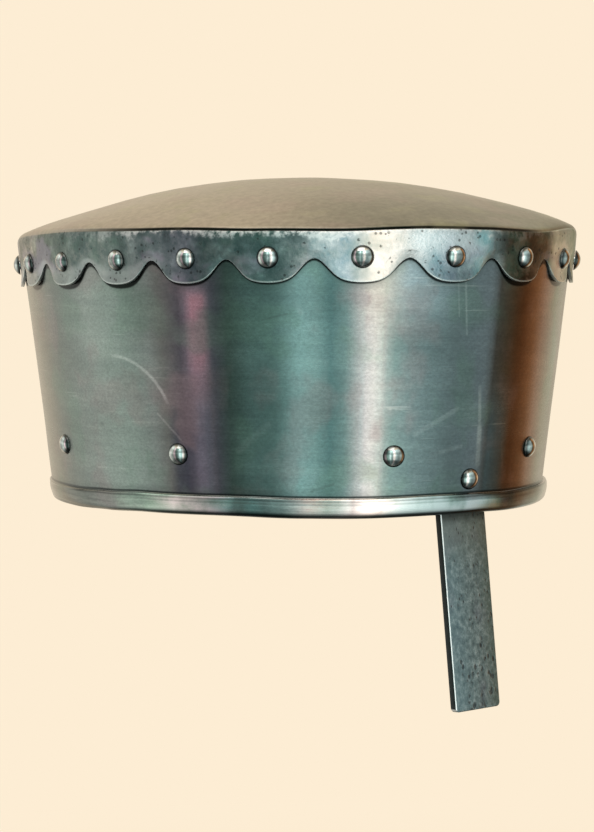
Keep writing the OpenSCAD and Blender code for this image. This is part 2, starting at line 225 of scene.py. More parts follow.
hem_middle = HEM_PROUD / 2 - BAND_SHEET / 2
hem_round = (BAND_SHEET + HEM_PROUD) / 2
hem_folds = (
    (0.7, 0.1), (0.35, 0.22), (0.15, 0.3), (-0.05, 0.55), (0.0, 1.0), (-0.2, 1.55), (-0.7, 1.9),
    (-1.4, 2.12), (-2.4, 2.28), (-3.6, 2.32), (-4.8, 2.24),
)
band_heights = [BAND_TOP, 107, 105, 103, 101.5, *range(100, 89, -1), 88, *range(84, 17, -6), 13, 10.5, 9.2]
band_rings = [level(z) for z in band_heights]
band_rings += [level(HEM_HEIGHT + up, out) for up, out in hem_folds]
for degrees in range(350, 179, -15):
    a = math.radians(degrees)
    band_rings.append(level(hem_round + hem_round * math.sin(a), hem_middle + hem_round * math.cos(a)))
band_rings += [level(z, -BAND_SHEET) for z in (6, 18, 36, 54, 72, 90, BAND_TOP)]
band_rings += [band_rings[0]]
skull_band = raise_wall("skull_band_sheet", band_rings, 480)
mark(skull_band, "flat_hem", hem_flatness)
mark(skull_band, "low_hem", lambda place: hem_dip(place) / HEM_DIP)
keep_on(skull_band, "drawn_height", lambda place: place.z / 1000)
move(skull_band, "flat_hem", "NORMAL", -HEM_FLATTENED)
move(skull_band, "low_hem", "Z", -HEM_DIP)
uneven(skull_band, 42.0, 0.35)

# The scallops of the crown plate hang over the band's top, and shade is painted on the band under their
# edge.
# Places round the oval are shares of its length, counted from the front.
SCALLOPS = 22
SCALLOP_DEPTH = 9.0
TIP_Z = CREASE - 20.5
WALK_STEPS = 1440
oval_walk = [(0.0, -math.pi)]
for i in range(1, WALK_STEPS + 1):
    a, b = math.tau * (i - 1) / WALK_STEPS - math.pi, math.tau * i / WALK_STEPS - math.pi
    step = math.hypot(OVAL * (math.sin(b) - math.sin(a)), math.cos(b) - math.cos(a))
    oval_walk.append((oval_walk[-1][0] + step, b))
oval_round = oval_walk[-1][0]


def share_at(place):
    """The share of the oval at a place."""
    turn = (math.atan2(place.x / OVAL, -place.y) + math.pi) / math.tau * WALK_STEPS
    i = min(int(turn), WALK_STEPS - 1)
    walked = oval_walk[i][0] + (turn - i) * (oval_walk[i + 1][0] - oval_walk[i][0])
    return walked / oval_round - 0.5


def angle_at(share):
    """The angle of the oval's circle at a share of its length."""
    walked = ((share + 0.5) % 1.0) * oval_round
    low, high = 0, WALK_STEPS
    while high - low > 1:
        middle = (low + high) // 2
        if oval_walk[middle][0] <= walked:
            low = middle
        else:
            high = middle
    (s0, a0), (s1, a1) = oval_walk[low], oval_walk[high]
    return a0 + (a1 - a0) * (walked - s0) / (s1 - s0)


def scallop_sway(k):
    """How far a scallop or notch stands out of step: they are cut by hand, not quite even."""
    return 0.035 * math.cos(math.tau * 5 * k / SCALLOPS)


def scallop_rise(share):
    """0 at the tip of a scallop and 1 in the notch beside it."""
    k = share * SCALLOPS
    for repeat in range(4):
        k = share * SCALLOPS - scallop_sway(k)
    u = (1 - math.cos(math.pi * abs(1 - 2 * (k % 1.0)))) / 2
    return 0.25 * u + 0.75 * u**3


keep_on(
    skull_band, "over_edge",
    lambda place: place.z - TIP_Z - SCALLOP_DEPTH * scallop_rise(share_at(place)),
)


def colour(*shade):
    """Red, green and blue, or one grey, as they look from 0 to 255, as the numbers a shader takes."""
    return [
        (c / 255 / 12.92 if c <= 10 else ((c / 255 + 0.055) / 1.055) ** 2.4)
        for c in (shade if len(shade) == 3 else shade * 3)
    ] + [1.0]


# Material nodes are laid one by one: inputs in the order of the node's own sockets
def lay(tree, kind, *inputs, **settings):
    node = tree.nodes.new(kind)
    for key, value in settings.items():
        setattr(node, key, value)
    for socket, value in zip(node.inputs, inputs):
        if isinstance(value, bpy.types.NodeSocket):
            tree.links.new(value, socket)
        elif value is not None:
            socket.default_value = value
    return node


def sum_of(tree, operation, *inputs, clamp=False):
    return lay(tree, "ShaderNodeMath", *inputs, operation=operation, use_clamp=clamp).outputs[0]


def times(tree, value, *others):
    for other in others:
        value = sum_of(tree, "MULTIPLY", value, other)
    return value


def vector(tree, operation, *inputs, result="Value"):
    return lay(tree, "ShaderNodeVectorMath", *inputs, operation=operation).outputs[result]


def between(tree, value, low, high):
    """0 below low, 1 above high and smooth between."""
    node = lay(tree, "ShaderNodeMapRange", value, low, high, 0.0, 1.0, interpolation_type="SMOOTHSTEP")
    return node.outputs[0]


def window(tree, value, start, full, still, end):
    """1 from full to still, fading to 0 at start and at end."""
    return times(tree, between(tree, value, start, full), between(tree, value, end, still))


def turn_share(degrees):
    return degrees / 360 + 0.5


def sector(tree, bearing, *degrees):
    """A window round the oval, from four bearings in degrees."""
    return window(tree, bearing, *[turn_share(d) for d in degrees])


def painted(tree, share, under, over, way="MIX"):
    """The colour over laid on the colour under, as thick as share."""
    node = tree.nodes.new("ShaderNodeMix")
    node.data_type = "RGBA"
    node.blend_type = way
    for socket, value in ((node.inputs[0], share), (node.inputs[6], under), (node.inputs[7], over)):
        if isinstance(value, bpy.types.NodeSocket):
            tree.links.new(value, socket)
        else:
            socket.default_value = value
    return node.outputs[2]


def tinted(tree, tone, where, share, *shade):
    """The tone with a shade over it, as thick as share where the mask is 1."""
    return painted(tree, times(tree, where, share), tone, colour(*shade))


def shades(tree, value, *stops):
    """A ramp of colours: each stop is its place and its shade."""
    node = tree.nodes.new("ShaderNodeValToRGB")
    while len(node.color_ramp.elements) < len(stops):
        node.color_ramp.elements.new(0.5)
    for element, (place, *shade) in zip(node.color_ramp.elements, stops):
        element.position = place
    for element, (place, *shade) in zip(node.color_ramp.elements, stops):
        element.color = colour(*shade)
    tree.links.new(value, node.inputs[0])
    return node.outputs[0]


def shades_round(tree, bearing, *stops):
    """A ramp of colours round the oval: each stop is its bearing in degrees and its shade."""
    return shades(tree, bearing, *[(turn_share(degrees), *shade) for degrees, *shade in stops])


def mottled(tree, tone, share, pattern, *stops):
    """The tone made darker and lighter by a pattern, under mid grey and over it."""
    return painted(tree, share, tone, shades(tree, pattern, *stops), "OVERLAY")


def cloud(tree, place, stretch, scale, detail=3.0, roughness=0.55, turn=(0, 0, 0)):
    """Noise over a place, drawn out by stretch and turned."""
    mapped = lay(tree, "ShaderNodeMapping", place, None, turn, stretch).outputs[0]
    return lay(tree, "ShaderNodeTexNoise", mapped, None, scale, detail, roughness).outputs[0]


def kept(tree, name):
    """A value that is kept on the piece's corners."""
    return lay(tree, "ShaderNodeAttribute", attribute_name=name).outputs["Fac"]


def place_on(tree):
    """The place on a piece, in metres."""
    return lay(tree, "ShaderNodeTexCoord").outputs["Object"]


def sides_of(tree, place):
    """How far a place lies towards +X, towards the back and up."""
    return lay(tree, "ShaderNodeSeparateXYZ", place).outputs


def bearing_on(tree, sides, width=1.0):
    """The bearing round an oval of a width for its length, from 0 at the back through 0.5 in front."""
    ahead = times(tree, sides[1], -1.0)
    turn = sum_of(tree, "ARCTAN2", sum_of(tree, "DIVIDE", sides[0], width), ahead)
    return sum_of(tree, "MULTIPLY_ADD", turn, 1 / math.tau, 0.5)


def new_finish(name):
    """A new material, its tree and its shader."""
    material = bpy.data.materials.new(name)
    material.use_nodes = True
    return material, material.node_tree, material.node_tree.nodes["Principled BSDF"]


def steel(name):
    """A bare steel material, its tree and its shader."""
    material, tree, shader = new_finish(name)
    shader.inputs["Metallic"].default_value = 1.0
    return material, tree, shader


def surface(tree, shader, tone, rough, relief, strength, depth):
    """Gives a shader its tone, its roughness and its relief, the relief's depth in metres."""
    tree.links.new(tone, shader.inputs["Base Color"])
    tree.links.new(rough, shader.inputs["Roughness"])
    bump = lay(tree, "ShaderNodeBump")
    bump.inputs["Strength"].default_value = strength
    bump.inputs["Distance"].default_value = depth
    tree.links.new(relief, bump.inputs["Height"])
    tree.links.new(bump.outputs[0], shader.inputs["Normal"])


band_steel, tree, shader = steel("band_steel")
shader.inputs["Anisotropic"].default_value = 0.5
brushed = lay(tree, "ShaderNodeTangent", direction_type="RADIAL", axis="Z")
tree.links.new(brushed.outputs[0], shader.inputs["Tangent"])
place = place_on(tree)
sides = sides_of(tree, place)
height = kept(tree, "drawn_height")
bearing = bearing_on(tree, sides, OVAL)
# The band's colour round the oval: partly the steel's own tint, partly painted reflections in stripes
tone = shades_round(
    tree, bearing,
    (-180, 178, 180, 176),  # the back
    (-117, 178, 180, 174),
    (-97, 144, 153, 148),  # the left side, dull green
    (-84, 172, 185, 180),
    (-74, 165, 178, 175),
    (-69, 164, 176, 174),
    (-66, 137, 146, 142),
    (-62, 102, 107, 114),  # violet beside a pink stripe
    (-58, 178, 170, 184),
    (-55, 124, 126, 139),
    (-52, 111, 130, 126),  # deep green
    (-48, 135, 157, 156),
    (-43, 118, 140, 138),
    (-38.5, 158, 184, 184),  # a teal stripe
    (-35.5, 154, 177, 177),
    (-32.5, 114, 143, 145),
    (-29.5, 134, 160, 160),
    (-25.5, 198, 199, 200),  # the bright stripe
    (-23, 200, 203, 202),
    (-20.5, 134, 164, 163),
    (-14, 148, 164, 166),
    (-6, 140, 152, 155),
    (2.2, 160, 172, 182),  # over the nasal bar, a thin light edge
    (4, 110, 107, 104),
    (8, 134, 126, 112),
    (12, 138, 110, 84),  # a brown stripe
    (17, 164, 141, 118),
    (21, 178, 170, 170),
    (28, 162, 163, 156),
    (36, 116, 111, 102),
    (80, 174, 176, 170),  # the right side
    (180, 178, 180, 176),
)
on_hem = between(tree, height, 0.0084, 0.0078)
# The hem's colour round the oval: polished steel with painted highlights, near white across the front
hem_tone_and_highlight = shades_round(
    tree, bearing,
    (-180, 170, 172, 168),
    (-96, 157, 162, 155),
    (-85, 182, 189, 183),
    (-74, 206, 214, 210),
    (-65, 250, 252, 248),
    (-58, 255, 255, 255),
    (-51, 225, 238, 240),
    (-42, 196, 200, 200),
    (-36, 240, 228, 226),
    (-28, 246, 242, 240),
    (-20, 250, 248, 246),
    (-6, 252, 255, 255),
    (1, 250, 252, 255),
    (8, 236, 252, 255),
    (13, 108, 152, 186),
    (20, 162, 192, 204),
    (28, 128, 130, 114),
    (60, 166, 168, 164),
    (180, 170, 172, 168),
)
flat_place = lay(tree, "ShaderNodeCombineXYZ", times(tree, bearing, BAND_ROUND), height, 0.0).outputs[0]


def unrolled(degrees, z):
    """A place on the unrolled band from its bearing and its height in millimetres."""
    return (turn_share(degrees) * BAND_ROUND, z / 1000, 0.0)


def streak(start, end, width):
    """1 on a line between two places, each a bearing and a height, fading to 0 at its width in mm."""
    line = [b - a for a, b in zip(unrolled(*start), unrolled(*end))]
    off = vector(tree, "SUBTRACT", flat_place, unrolled(*start), result=0)
    dot = vector(tree, "DOT_PRODUCT", off, line)
    foot = lay(tree, "ShaderNodeVectorMath", line, operation="SCALE")
    share = sum_of(tree, "DIVIDE", dot, sum(v * v for v in line), clamp=True)
    tree.links.new(share, foot.inputs["Scale"])
    return between(tree, vector(tree, "DISTANCE", off, foot.outputs[0]), width / 1000, width / 4000)


brushing = cloud(tree, place, (45, 45, 2200), 1.0, 3.0, 0.6)
smears = cloud(tree, flat_place, (1, 1.6, 1), 24.0, 5.0, 0.62)
tinting = cloud(tree, flat_place, (1.3, 1, 1), 33.0, 3.0, 0.5)
rubs = cloud(tree, flat_place, (1, 7, 1), 38.0, 4.0, 0.6, (0, 0, 0.5))
scratches = cloud(tree, flat_place, (14, 420, 1), 1.0, 2.0, 0.5, (0, 0, 0.32))
grain = cloud(tree, place, (1, 1, 1.6), 700.0, 3.0, 0.7)
hem_streaks = cloud(tree, flat_place, (1, 16, 1), 42.0, 3.0, 0.6)

# Painted reflections that only part of the band's height has: their bearings, the heights in millimetres
# between which they come in, how thick they are, and their shades
pink_reflection = sector(tree, bearing, -61, -58.8, -57, -55.2)
pink_reflection_high = times(tree, pink_reflection, window(tree, height, 0.04, 0.07, 0.085, 0.091))
tone = tinted(tree, tone, pink_reflection_high, 0.75, 216, 178, 192)
for degrees, none_at, full_at, share, shade in (
    ((-61, -58.8, -57, -55.2), 50, 34, 0.6, (130, 142, 160)),
    ((-29, -25, -22, -14), 62, 92, 0.6, (196, 196, 190)),
    ((-22, -17, -12, -5), 68, 94, 0.5, (192, 208, 216)),
    ((-66, -63.5, -60.5, -58.6), 60, 25, 0.6, (76, 90, 104)),
    ((3, 5, 8, 12), 60, 25, 0.7, (122, 152, 168)),
    ((10, 12.5, 17, 21), 60, 25, 0.4, (96, 76, 58)),
):
    at_height = between(tree, height, none_at / 1000, full_at / 1000)
    tone = tinted(tree, tone, times(tree, sector(tree, bearing, *degrees), at_height), share, *shade)
# Painted shade on the upper hem right of the bar, and in the hem's groove
upper_hem_shade = times(tree, sector(tree, bearing, -7, -2, 10, 15), between(tree, height, 0.0052, 0.0066))
hem_tone_and_highlight = tinted(tree, hem_tone_and_highlight, upper_hem_shade, 0.5, 138, 146, 150)
hem_tone_and_highlight = mottled(tree, hem_tone_and_highlight, 0.6, hem_streaks, (0.35, 112, 114, 114), (0.58, 184, 184, 182))
hem_groove_shade = window(tree, height, 0.0051, 0.0055, 0.0058, 0.0063)
hem_tone_and_highlight = tinted(tree, hem_tone_and_highlight, hem_groove_shade, 0.2, 112, 126, 124)
tone = painted(tree, on_hem, tone, hem_tone_and_highlight)
tone = tinted(tree, tone, between(tree, tinting, 0.52, 0.66), 0.4, 172, 158, 160)
tone = tinted(tree, tone, between(tree, tinting, 0.47, 0.34), 0.4, 138, 166, 152)
tone = mottled(tree, tone, 0.5, smears, (0.32, 96), (0.68, 160))
tone = mottled(tree, tone, 0.3, rubs, (0.35, 104), (0.7, 158, 156, 150))
tone = mottled(tree, tone, 0.11, brushing, (0.3, 70), (0.7, 190))

# Light rubs and scratches: from, to, width in millimetres and strength. One long scrape is curved.
light = 0.0
for begin, end, width, strength in (
    ((-50.5, 26.5), (-44.5, 36.5), 2.2, 0.06), ((-14.6, 32.5), (-5.0, 41.8), 1.5, 0.1),
    ((-8.4, 25.0), (-3.2, 27.0), 1.2, 0.12), ((0.6, 50.0), (1.6, 34.0), 1.3, 0.22),
    ((1.6, 34.0), (2.0, 19.5), 2.0, 0.3), ((-5.3, 92.0), (-4.0, 71.0), 0.7, 0.16),
    ((-7.0, 92.0), (-6.2, 78.0), 0.5, 0.12), ((9.2, 27.4), (10.2, 18.8), 1.0, 0.1),
    ((-40.0, 88.0), (-38.0, 80.0), 1.6, 0.12), ((-68.0, 40.0), (-63.0, 30.0), 0.7, 0.14),
):
    light = sum_of(tree, "MAXIMUM", light, times(tree, streak(begin, end, width), strength))
scrape_radius = 0.0302
from_middle = vector(tree, "DISTANCE", flat_place, unrolled(-79.1, 32.7))
off_scrape = sum_of(tree, "ABSOLUTE", sum_of(tree, "SUBTRACT", from_middle, scrape_radius))
scrape = times(tree, between(tree, off_scrape, 0.0011, 0.0002), streak((-76, 60), (-67, 50), 9.0))
light = sum_of(tree, "MAXIMUM", light, times(tree, scrape, 0.28))
light = times(tree, light, between(tree, smears, 0.3, 0.6))
tone = painted(tree, light, tone, colour(226, 230, 228))
tone = mottled(tree, tone, 0.3, grain, (0.3, 70), (0.7, 190))
scratched = times(tree, between(tree, scratches, 0.66, 0.7), between(tree, smears, 0.5, 0.6))
tone = tinted(tree, tone, scratched, 0.14, 220, 222, 218)
dark = 0.0
for begin, end, width in (
    ((-83.7, 34.9), (-83.4, 34.6), 1.3),
    ((-35.8, 11.0), (-31.5, 13.8), 0.9),
    ((-45.3, 77.2), (-40.6, 79.5), 0.6),
):
    dark = sum_of(tree, "MAXIMUM", dark, streak(begin, end, width))
tone = tinted(tree, tone, dark, 0.28, 60, 66, 64)

# Painted shade and shadow: under the scallops, over and in the fold of the hem, and under the rim
over_edge = kept(tree, "over_edge")
tone = tinted(tree, tone, between(tree, over_edge, -4.0, -0.3), 0.4, 70, 80, 76)
beside = sum_of(tree, "SUBTRACT", 1.0, sector(tree, bearing, -74, -50, 1, 8))
shadow = between(tree, sum_of(tree, "ADD", beside, over_edge), -1.2, -0.4)
tone = tinted(tree, tone, shadow, 0.95, 12, 14, 14)
tone = tinted(tree, tone, between(tree, height, 0.0125, 0.009), 0.25, 62, 68, 66)
tone = tinted(tree, tone, window(tree, height, 0.0080, 0.0082, 0.0087, 0.0092), 0.8, 40, 46, 46)
ahead = sum_of(tree, "MULTIPLY_ADD", sector(tree, bearing, -78, -66, 14, 20), 0.54, 0.36)
tone = painted(tree, times(tree, between(tree, height, 0.0025, 0.0011), ahead), tone, colour(40, 48, 46))
rough = sum_of(tree, "MULTIPLY_ADD", brushing, 0.07, 0.155)
rough = sum_of(tree, "MULTIPLY_ADD", smears, 0.12, rough)
rough = sum_of(tree, "MULTIPLY_ADD", on_hem, -0.08, rough)
surface(tree, shader, tone, rough, brushing, 0.1, 0.0002)
done(skull_band, band_steel, "band_steel", "skull_band")

# Crown plate: a disc of 1.5 mm sheet, dished on a stake to a low dome. Its edge is turned down over
# the band as a flange, which is cut by hand into scallops whose tips stand a little off the band.
CROWN_SHEET = 1.5
DOME_RISE = 26.0
FULLNESS = 0.4
SHOULDER = 4.5
FLANGE_GAP = 0.1
FLANGE_OFF = FLANGE_GAP + CROWN_SHEET
FLANGE_TOP = 104.0
LIFT_TOP = 96.4
TIP_LIFT = 0.9
CROWN_MOVE = 3.0
arc_z = CREASE - SHOULDER / 2
flare_angle = math.atan(SLOPE)
arc_off = FLANGE_OFF - SHOULDER * (math.cos(flare_angle) + SLOPE * math.sin(flare_angle))
edge_slope = math.atan(DOME_RISE * (2 + 2 * FULLNESS) / half_length(CREASE))
crown_rings = []
for down in (1, 0.93, 0.85, 0.75, 0.62, 0.48, 0.32, 0.16, 0):
    crown_rings.append(level(FLANGE_TOP + (TIP_Z - FLANGE_TOP) * down, FLANGE_OFF))
crown_rings += [level(z, FLANGE_OFF) for z in (105.5, 107, 108.2)]
for i in range(9):
    a = -flare_angle + (math.pi / 2 - edge_slope + flare_angle) * i / 8
    w, l, z = level(arc_z, arc_off + SHOULDER * math.cos(a))
    crown_rings.append((w, l, z + SHOULDER * math.sin(a)))
rim_w, rim_l, rim_z = crown_rings[-1]
dome_top = CREASE + DOME_RISE - rim_z
for r in (0.985, 0.96, 0.92, 0.87, 0.8, 0.72, 0.63, 0.54, 0.45, 0.36, 0.27, 0.18, 0.1, 0.05, 0.02):
    bowl = (1 - FULLNESS) * (1 - r**2) + FULLNESS * (1 - r**4)
    crown_rings.append((rim_w * r, rim_l * r, rim_z + dome_top * bowl))


def scallop_cut(place):
    """How far a place on the flange is drawn up into a notch, as a share of the scallops' depth."""
    down = max((FLANGE_TOP - place.z) / (FLANGE_TOP - TIP_Z), 0)
    return down * scallop_rise(share_at(place)) if down else 0.0


def scallop_lift(place):
    """How far a place on the flange stands off the band, as a share of the tips' lift."""
    edge_z = place.z + SCALLOP_DEPTH * scallop_cut(place)
    return max(LIFT_TOP - edge_z, 0) / (LIFT_TOP - TIP_Z)


def crown_rise(place):
    """How far a place was hammered up, in millimetres: the crease is not level, higher at the left
    and at the right of the front than between them, and the dome is flatter on its left."""
    crease = along(
        bearing_of(place),
        (-180, 0.8), (-125, 0.8), (-92, 1.5), (-64, 0.7), (-45, -0.4), (-30, -0.8), (-14, 0.2), (-2, 0.0),
        (12, -0.6), (32, 2.0), (58, 2.8), (110, 1.2), (180, 0.8),
    )
    flat = along(
        bearing_of(place),
        (-180, 0.8), (-125, 2.3), (-60, 1.2), (0, 0.7), (55, 0.8), (100, 0.3), (145, 0.2), (180, 0.8),
    )
    r = min(math.hypot(place.x / rim_w, place.y / rim_l), 1.0)
    if place.z < rim_z - 0.01:
        r = 1.0
    near_crease = ease((r - 0.7) / 0.3) * ease((place.z - FLANGE_TOP) / 7)
    return crease * near_crease - flat * math.sin(math.pi * r**2.2)


def break_edges(piece, width, segments):
    """Takes the sharpness off a sheet's edges, as a file or an edger does."""
    finish_with(
        piece, "BEVEL", width=width, segments=segments, limit_method="ANGLE", angle_limit=math.radians(50)
    )


crown_plate = raise_wall("crown_plate_sheet", crown_rings, 528, close=("last",))
mark(crown_plate, "scallops", scallop_cut)
mark(crown_plate, "lifted", scallop_lift)
mark(crown_plate, "raised", lambda place: max(crown_rise(place), 0) / CROWN_MOVE)
mark(crown_plate, "sunk", lambda place: max(-crown_rise(place), 0) / CROWN_MOVE)
keep_on(crown_plate, "over_edge", lambda place: place.z - TIP_Z)
keep_on(crown_plate, "drawn_height", lambda place: place.z / 1000)
move(crown_plate, "raised", "Z", CROWN_MOVE)
move(crown_plate, "sunk", "Z", -CROWN_MOVE)
move(crown_plate, "scallops", "Z", SCALLOP_DEPTH)
move(crown_plate, "lifted", "NORMAL", TIP_LIFT)
uneven(crown_plate, 34.0, 0.5)
finish_with(crown_plate, "SOLIDIFY", thickness=CROWN_SHEET, offset=-1)
break_edges(crown_plate, 0.22, 2)

crown_steel, tree, shader = steel("crown_steel")
place = place_on(tree)
sides = sides_of(tree, place)
height = kept(tree, "drawn_height")
bearing = bearing_on(tree, sides, OVAL)
smears = cloud(tree, place, (1, 1, 1), 18.0, 4.0, 0.6)
strokes = cloud(tree, place, (6, 90, 6), 1.0, 4.0, 0.6, (0, 0, 0.6))
mottle = cloud(tree, place, (1, 1, 1), 105.0, 6.0, 0.7)
patches = cloud(tree, place, (1, 1, 1), 38.0, 3.0, 0.55)
grain = cloud(tree, place, (1, 1, 1), 420.0, 4.0, 0.6)
drift = cloud(tree, place, (1, 1, 1.6), 24.0, 4.0, 0.6)

# The dome is a warm grey, darker in front, with painted shade at its right end, and faint hammering and
# grain
dome_tone = shades(
    tree, smears, (0.3, 158, 154, 140), (0.45, 168, 164, 148), (0.58, 172, 167, 150), (0.75, 166, 164, 136)
)
dome_tone = mottled(tree, dome_tone, 0.3, strokes, (0.35, 100), (0.65, 156))
dome_tone = tinted(tree, dome_tone, between(tree, sides[0], 0.01, -0.1), 0.5, 204, 192, 176)
dome_tone = painted(tree, 1.0, dome_tone, colour(250, 252, 255), "MULTIPLY")
front = times(
    tree, sector(tree, bearing, -50, -24, 40, 70), between(tree, height, 0.133, 0.12),
    sum_of(tree, "MULTIPLY_ADD", between(tree, patches, 0.35, 0.6), 0.4, 0.6),
)
dome_tone = tinted(tree, dome_tone, front, 0.65, 116, 120, 106)
dome_tone = tinted(tree, dome_tone, between(tree, patches, 0.5, 0.64), 0.25, 176, 158, 154)
dome_tone = tinted(tree, dome_tone, between(tree, patches, 0.46, 0.34), 0.25, 162, 168, 128)
# Painted shade at the dome's right end
right_end_shade = times(tree, sector(tree, bearing, 14, 26, 60, 80), between(tree, height, 0.1175, 0.1135))
dome_tone = tinted(tree, dome_tone, right_end_shade, 0.5, 100, 94, 72)
dome_tone = mottled(tree, dome_tone, 0.3, grain, (0.3, 76), (0.7, 184))

# The flange is colder and blotched, worn bright under the crease and pitted. Its colour round the oval is
# partly painted reflection, as on the band
flange_tone = shades_round(
    tree, bearing,
    (-150, 140, 146, 142),
    (-104, 186, 184, 174),
    (-98, 126, 140, 128),
    (-84, 136, 152, 150),
    (-75, 144, 158, 156),
    (-66, 134, 150, 152),
    (-59, 136, 144, 154),
    (-56, 98, 117, 118),  # dark green
    (-50, 107, 130, 130),
    (-44, 100, 125, 124),
    (-40, 134, 150, 150),
    (-35, 200, 206, 208),
    (-30, 188, 199, 206),
    (-25, 246, 238, 232),  # the bright stripe
    (-21, 240, 234, 230),
    (-16, 206, 212, 214),
    (-10, 178, 190, 196),
    (-6, 160, 178, 182),
    (-2, 202, 222, 226),
    (2, 146, 158, 158),
    (4.5, 104, 84, 70),
    (8, 78, 52, 34),  # the brown stripe
    (12, 104, 86, 66),
    (17.5, 122, 106, 84),
    (20.5, 228, 232, 226),
    (26, 226, 228, 224),
    (34, 190, 194, 182),
    (60, 162, 166, 158),
    (100, 124, 136, 132),
    (130, 140, 146, 142),
)
flange_tone = mottled(
    tree, flange_tone, 0.8, mottle,
    (0.3, 44, 52, 52), (0.42, 98, 106, 106), (0.5, 128), (0.6, 164, 162, 162), (0.74, 226, 222, 220),
)
flange_tone = tinted(tree, flange_tone, between(tree, drift, 0.52, 0.64), 0.42, 168, 156, 176)
flange_tone = tinted(tree, flange_tone, between(tree, drift, 0.48, 0.36), 0.4, 88, 118, 104)
right_side = between(tree, bearing, turn_share(4), turn_share(12))
rust = times(
    tree, between(tree, patches, 0.54, 0.68), between(tree, mottle, 0.46, 0.56),
    sum_of(tree, "MULTIPLY_ADD", right_side, 0.3, 0.08),
)
flange_tone = painted(tree, rust, flange_tone, colour(186, 164, 150))
ragged_height = sum_of(tree, "MULTIPLY_ADD", mottle, 0.01, height)
ragged_height = sum_of(tree, "MULTIPLY_ADD", patches, 0.008, ragged_height)
worn = times(
    tree, between(tree, ragged_height, 0.1180, 0.1202), between(tree, grain, 0.36, 0.6),
    sum_of(tree, "MULTIPLY_ADD", sector(tree, bearing, -82, -66, -1, 3), 0.58, 0.1),
)
flange_tone = painted(tree, worn, flange_tone, colour(228))
# A painted highlight on the flange right of the bright stripe, and painted shade under it
lit = times(tree, sector(tree, bearing, -20, -15, -7, -1), between(tree, height, 0.0985, 0.107))
flange_tone = tinted(tree, flange_tone, lit, 0.55, 240, 244, 246)
painted_shade_under_lit = times(tree, sector(tree, bearing, -18, -13, -7, -2), between(tree, height, 0.1, 0.0955))
flange_tone = tinted(tree, flange_tone, painted_shade_under_lit, 0.4, 104, 124, 130)
left_side = between(tree, bearing, turn_share(-62), turn_share(-70))
tips = times(tree, left_side, between(tree, height, 0.1, 0.095))
flange_tone = tinted(tree, flange_tone, tips, 0.35, 200, 204, 204)
filed_edge = between(tree, kept(tree, "over_edge"), 0.8, 0.2)
flange_tone = tinted(tree, flange_tone, filed_edge, 0.55, 206, 212, 210)
pits = lay(tree, "ShaderNodeTexVoronoi", place, None, 420.0).outputs["Distance"]
pit = times(tree, sum_of(tree, "LESS_THAN", pits, 0.24), between(tree, mottle, 0.5, 0.46))
flange_tone = tinted(tree, flange_tone, pit, 0.6, 44)

on_dome = between(tree, height, 0.1113, 0.1119)
tone = painted(tree, on_dome, flange_tone, dome_tone)
# A painted shade line along the crease, under the dome's edge
crease_shade_line = times(
    tree, window(tree, height, 0.1112, 0.1116, 0.1123, 0.1129), sector(tree, bearing, -96, -66, 9, 17),
    sum_of(tree, "MULTIPLY_ADD", between(tree, patches, 0.3, 0.45), 0.2, 0.8),
)
tone = painted(tree, crease_shade_line, tone, colour(8, 14, 12))
rough = sum_of(tree, "MULTIPLY_ADD", smears, 0.2, 0.28)
flange_mottle = times(tree, mottle, sum_of(tree, "SUBTRACT", 1.0, on_dome))
rough = sum_of(tree, "MULTIPLY_ADD", flange_mottle, 0.15, rough)
relief = sum_of(tree, "MULTIPLY_ADD", grain, 0.25, mottle)
relief = sum_of(tree, "MULTIPLY_ADD", pit, -0.6, relief)
relief = times(tree, relief, sum_of(tree, "MULTIPLY_ADD", on_dome, -0.85, 1.0))
surface(tree, shader, tone, rough, relief, 0.5, 0.0008)
done(crown_plate, crown_steel, "crown_steel", "crown_plate")

# Rivets: polished steel rivets with domed heads, set from outside and peened over within. One goes
# through each scallop, one through the bar, and nine through the headband and its washers.
HEAD_D = 8.6
HEAD_H = 2.6
HEAD_RIM = 0.2
SHANK_D = 4.0
TAIL_D = 6.2
TAIL_H = 1.2
RIM_BREAK = 0.1
SEAT_GAP = 0.15
TAIL_GAP = 0.1
CROWN_RIVET_Z = CREASE - 10.8
LINER_RIVET_Z = 24.0
LINER_RIVETS = 9
LEATHER = 2.0
LEATHER_GAP = 0.25
WASHER_T = 1.0
WASHER_BOW = 0.128

rivet_steel, tree, shader = steel("rivet_steel")
place = place_on(tree)
scuffs = cloud(tree, place, (1, 1, 1), 900.0, 4.0, 0.6)
rim = kept(tree, "rim")
rise = kept(tree, "rise")
tone = shades(tree, scuffs, (0.3, 186, 192, 190), (0.7, 232, 235, 233))
# Painted shade and reflections: darker on the lower half, a dark core and a dark outline at the rim
tone = tinted(tree, tone, between(tree, rise, 0.15, -0.7), 0.5, 50, 56, 54)
painted_dark_core = times(tree, between(tree, rim, 0.65, 0.3), between(tree, rise, 0.4, -0.05))
tone = tinted(tree, tone, painted_dark_core, 0.6, 36, 40, 40)
tone = tinted(tree, tone, between(tree, rim, 0.68, 0.92), 0.9, 24, 30, 29)
surface(tree, shader, tone, sum_of(tree, "MULTIPLY_ADD", scuffs, 0.12, 0.04), scuffs, 0.12, 0.0003)


def button_rings(diameter, rise, z, way):
    """The rings of a low dome from its apex to its edge, above or below the height z."""
    radius = (diameter**2 / 4 + rise**2) / (2 * rise)
    edge = math.asin(min(diameter / 2 / radius, 1))
    rows = []
    for i in range(1, 12):
        a = edge * i / 11
        out = radius * math.sin(a)
        rows.append((out, out, z + way * (rise - radius * (1 - math.cos(a)))))
    return rows


